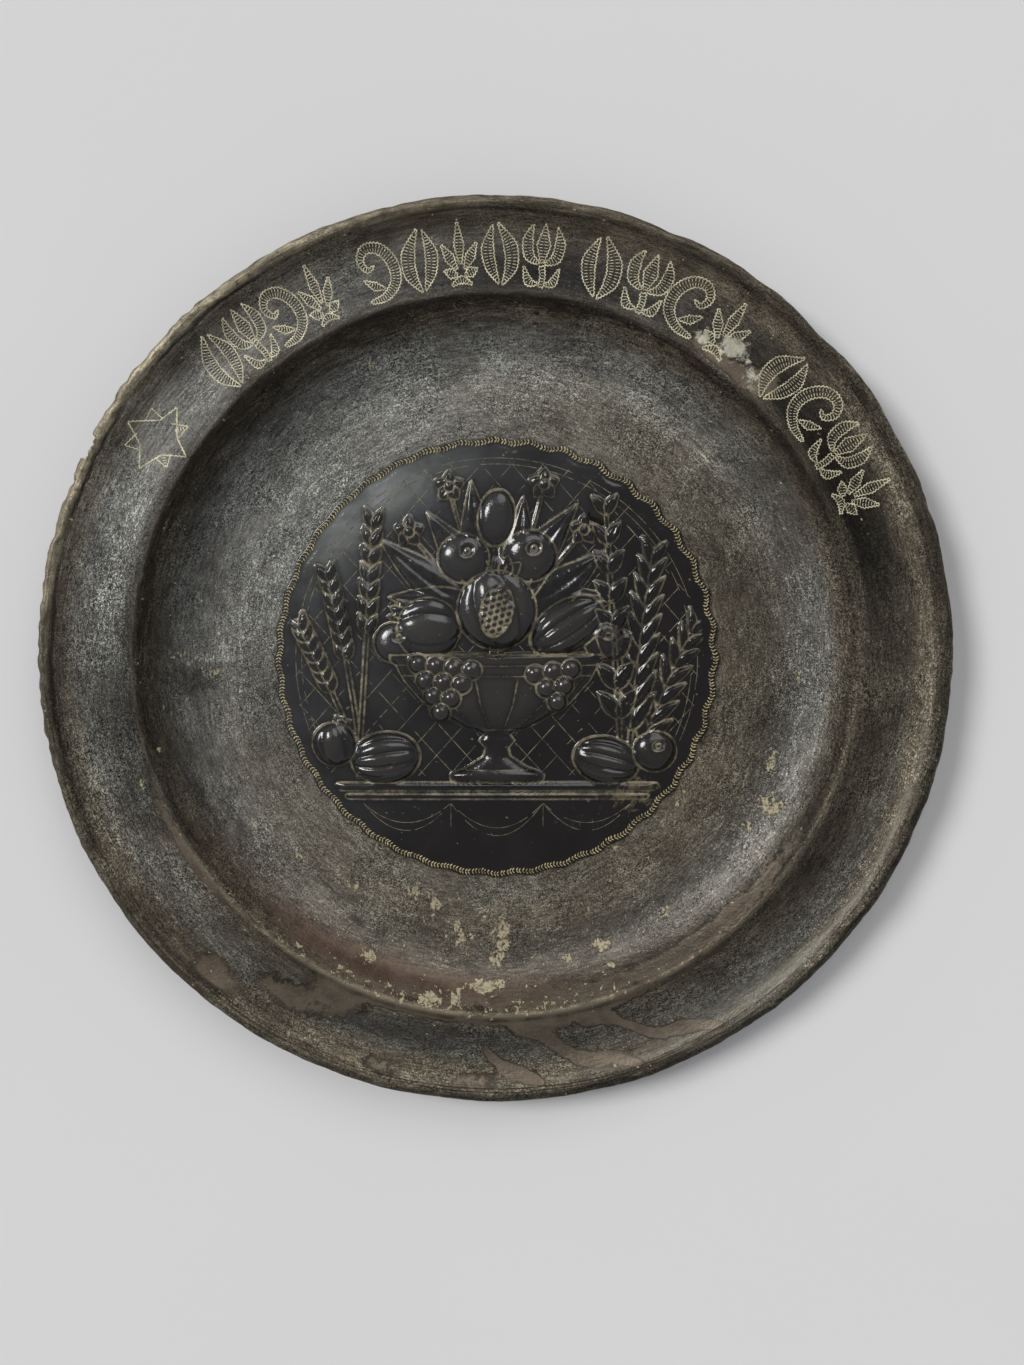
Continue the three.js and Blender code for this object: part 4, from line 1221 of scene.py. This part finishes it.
def stage():
    mesh = bpy.data.meshes.new("floor")
    mesh.from_pydata([(-FLOOR_REACH, -FLOOR_REACH, 0), (FLOOR_REACH, -FLOOR_REACH, 0),
                      (FLOOR_REACH, FLOOR_REACH, 0), (-FLOOR_REACH, FLOOR_REACH, 0)], [], [(0, 1, 2, 3)])
    floor = bpy.data.objects.new("floor", mesh)
    bpy.context.scene.collection.objects.link(floor)
    mesh.materials.append(floor_material())

    world = bpy.data.worlds.new("studio")
    bpy.context.scene.world = world
    world.use_nodes = True
    tree = world.node_tree
    place = tree.nodes.new("ShaderNodeTexCoord")
    parts = tree.nodes.new("ShaderNodeSeparateXYZ")
    tree.links.new(place.outputs["Generated"], parts.inputs[0])
    fade = tree.nodes.new("ShaderNodeMapRange")
    fade.interpolation_type = "SMOOTHSTEP"
    tree.links.new(parts.outputs["Z"], fade.inputs["Value"])
    fade.inputs["From Min"].default_value, fade.inputs["From Max"].default_value = 0.1, 0.75
    shades = tree.nodes.new("ShaderNodeMix")
    shades.data_type = "RGBA"
    tree.links.new(fade.outputs["Result"], shades.inputs[0])
    shades.inputs[6].default_value = srgb(*HORIZON)
    shades.inputs[7].default_value = srgb(*ZENITH)
    tree.links.new(shades.outputs[2], tree.nodes["Background"].inputs["Color"])
    tree.nodes["Background"].inputs["Strength"].default_value = 1.0


def softbox(azimuth, elevation, spread, strength):
    """A broad, even light from far away"""
    light = bpy.data.lights.new("softbox", "SUN")
    light.angle = math.radians(spread)
    light.energy = strength
    lamp = bpy.data.objects.new("softbox", light)
    bpy.context.scene.collection.objects.link(lamp)
    turn, rise = math.radians(azimuth), math.radians(elevation)
    lamp.location = (math.cos(rise) * math.cos(turn), math.cos(rise) * math.sin(turn), math.sin(rise))
    lamp.rotation_mode = "QUATERNION"
    lamp.rotation_quaternion = (-lamp.location).to_track_quat("-Z", "Y")


def photographer():
    """The camera looks almost straight down the dish's axis, a little from its top"""
    lens_pixels = 1443.0
    sensor = 36
    distance = 0.619
    tilt = math.radians(7.5)
    aside_pixels, below_pixels = 15.2, 21.7
    right = Vector((1, 0, 0))
    up = Vector((0, math.cos(tilt), -math.sin(tilt)))
    back = Vector((0, math.sin(tilt), math.cos(tilt)))
    camera = bpy.data.cameras.new("camera")
    camera.sensor_fit = "VERTICAL"
    camera.sensor_height = sensor
    camera.sensor_width = sensor
    camera.lens = sensor * lens_pixels / IMAGE_HEIGHT
    place = bpy.data.objects.new("camera", camera)
    per_pixel = distance / lens_pixels
    target = Vector((0, 0, METAL * MM))
    shift = (right * aside_pixels - up * below_pixels) * per_pixel
    place.location = target + shift + back * distance
    place.rotation_mode = "QUATERNION"
    place.rotation_quaternion = Matrix((right, up, back)).transposed().to_quaternion()
    camera.clip_start, camera.clip_end = 0.01, 20
    bpy.context.scene.collection.objects.link(place)
    bpy.context.scene.camera = place


photographer()
build()
stage()
softbox(*WINDOW)
softbox(*CEILING)
bpy.context.scene.view_settings.view_transform = "Standard"
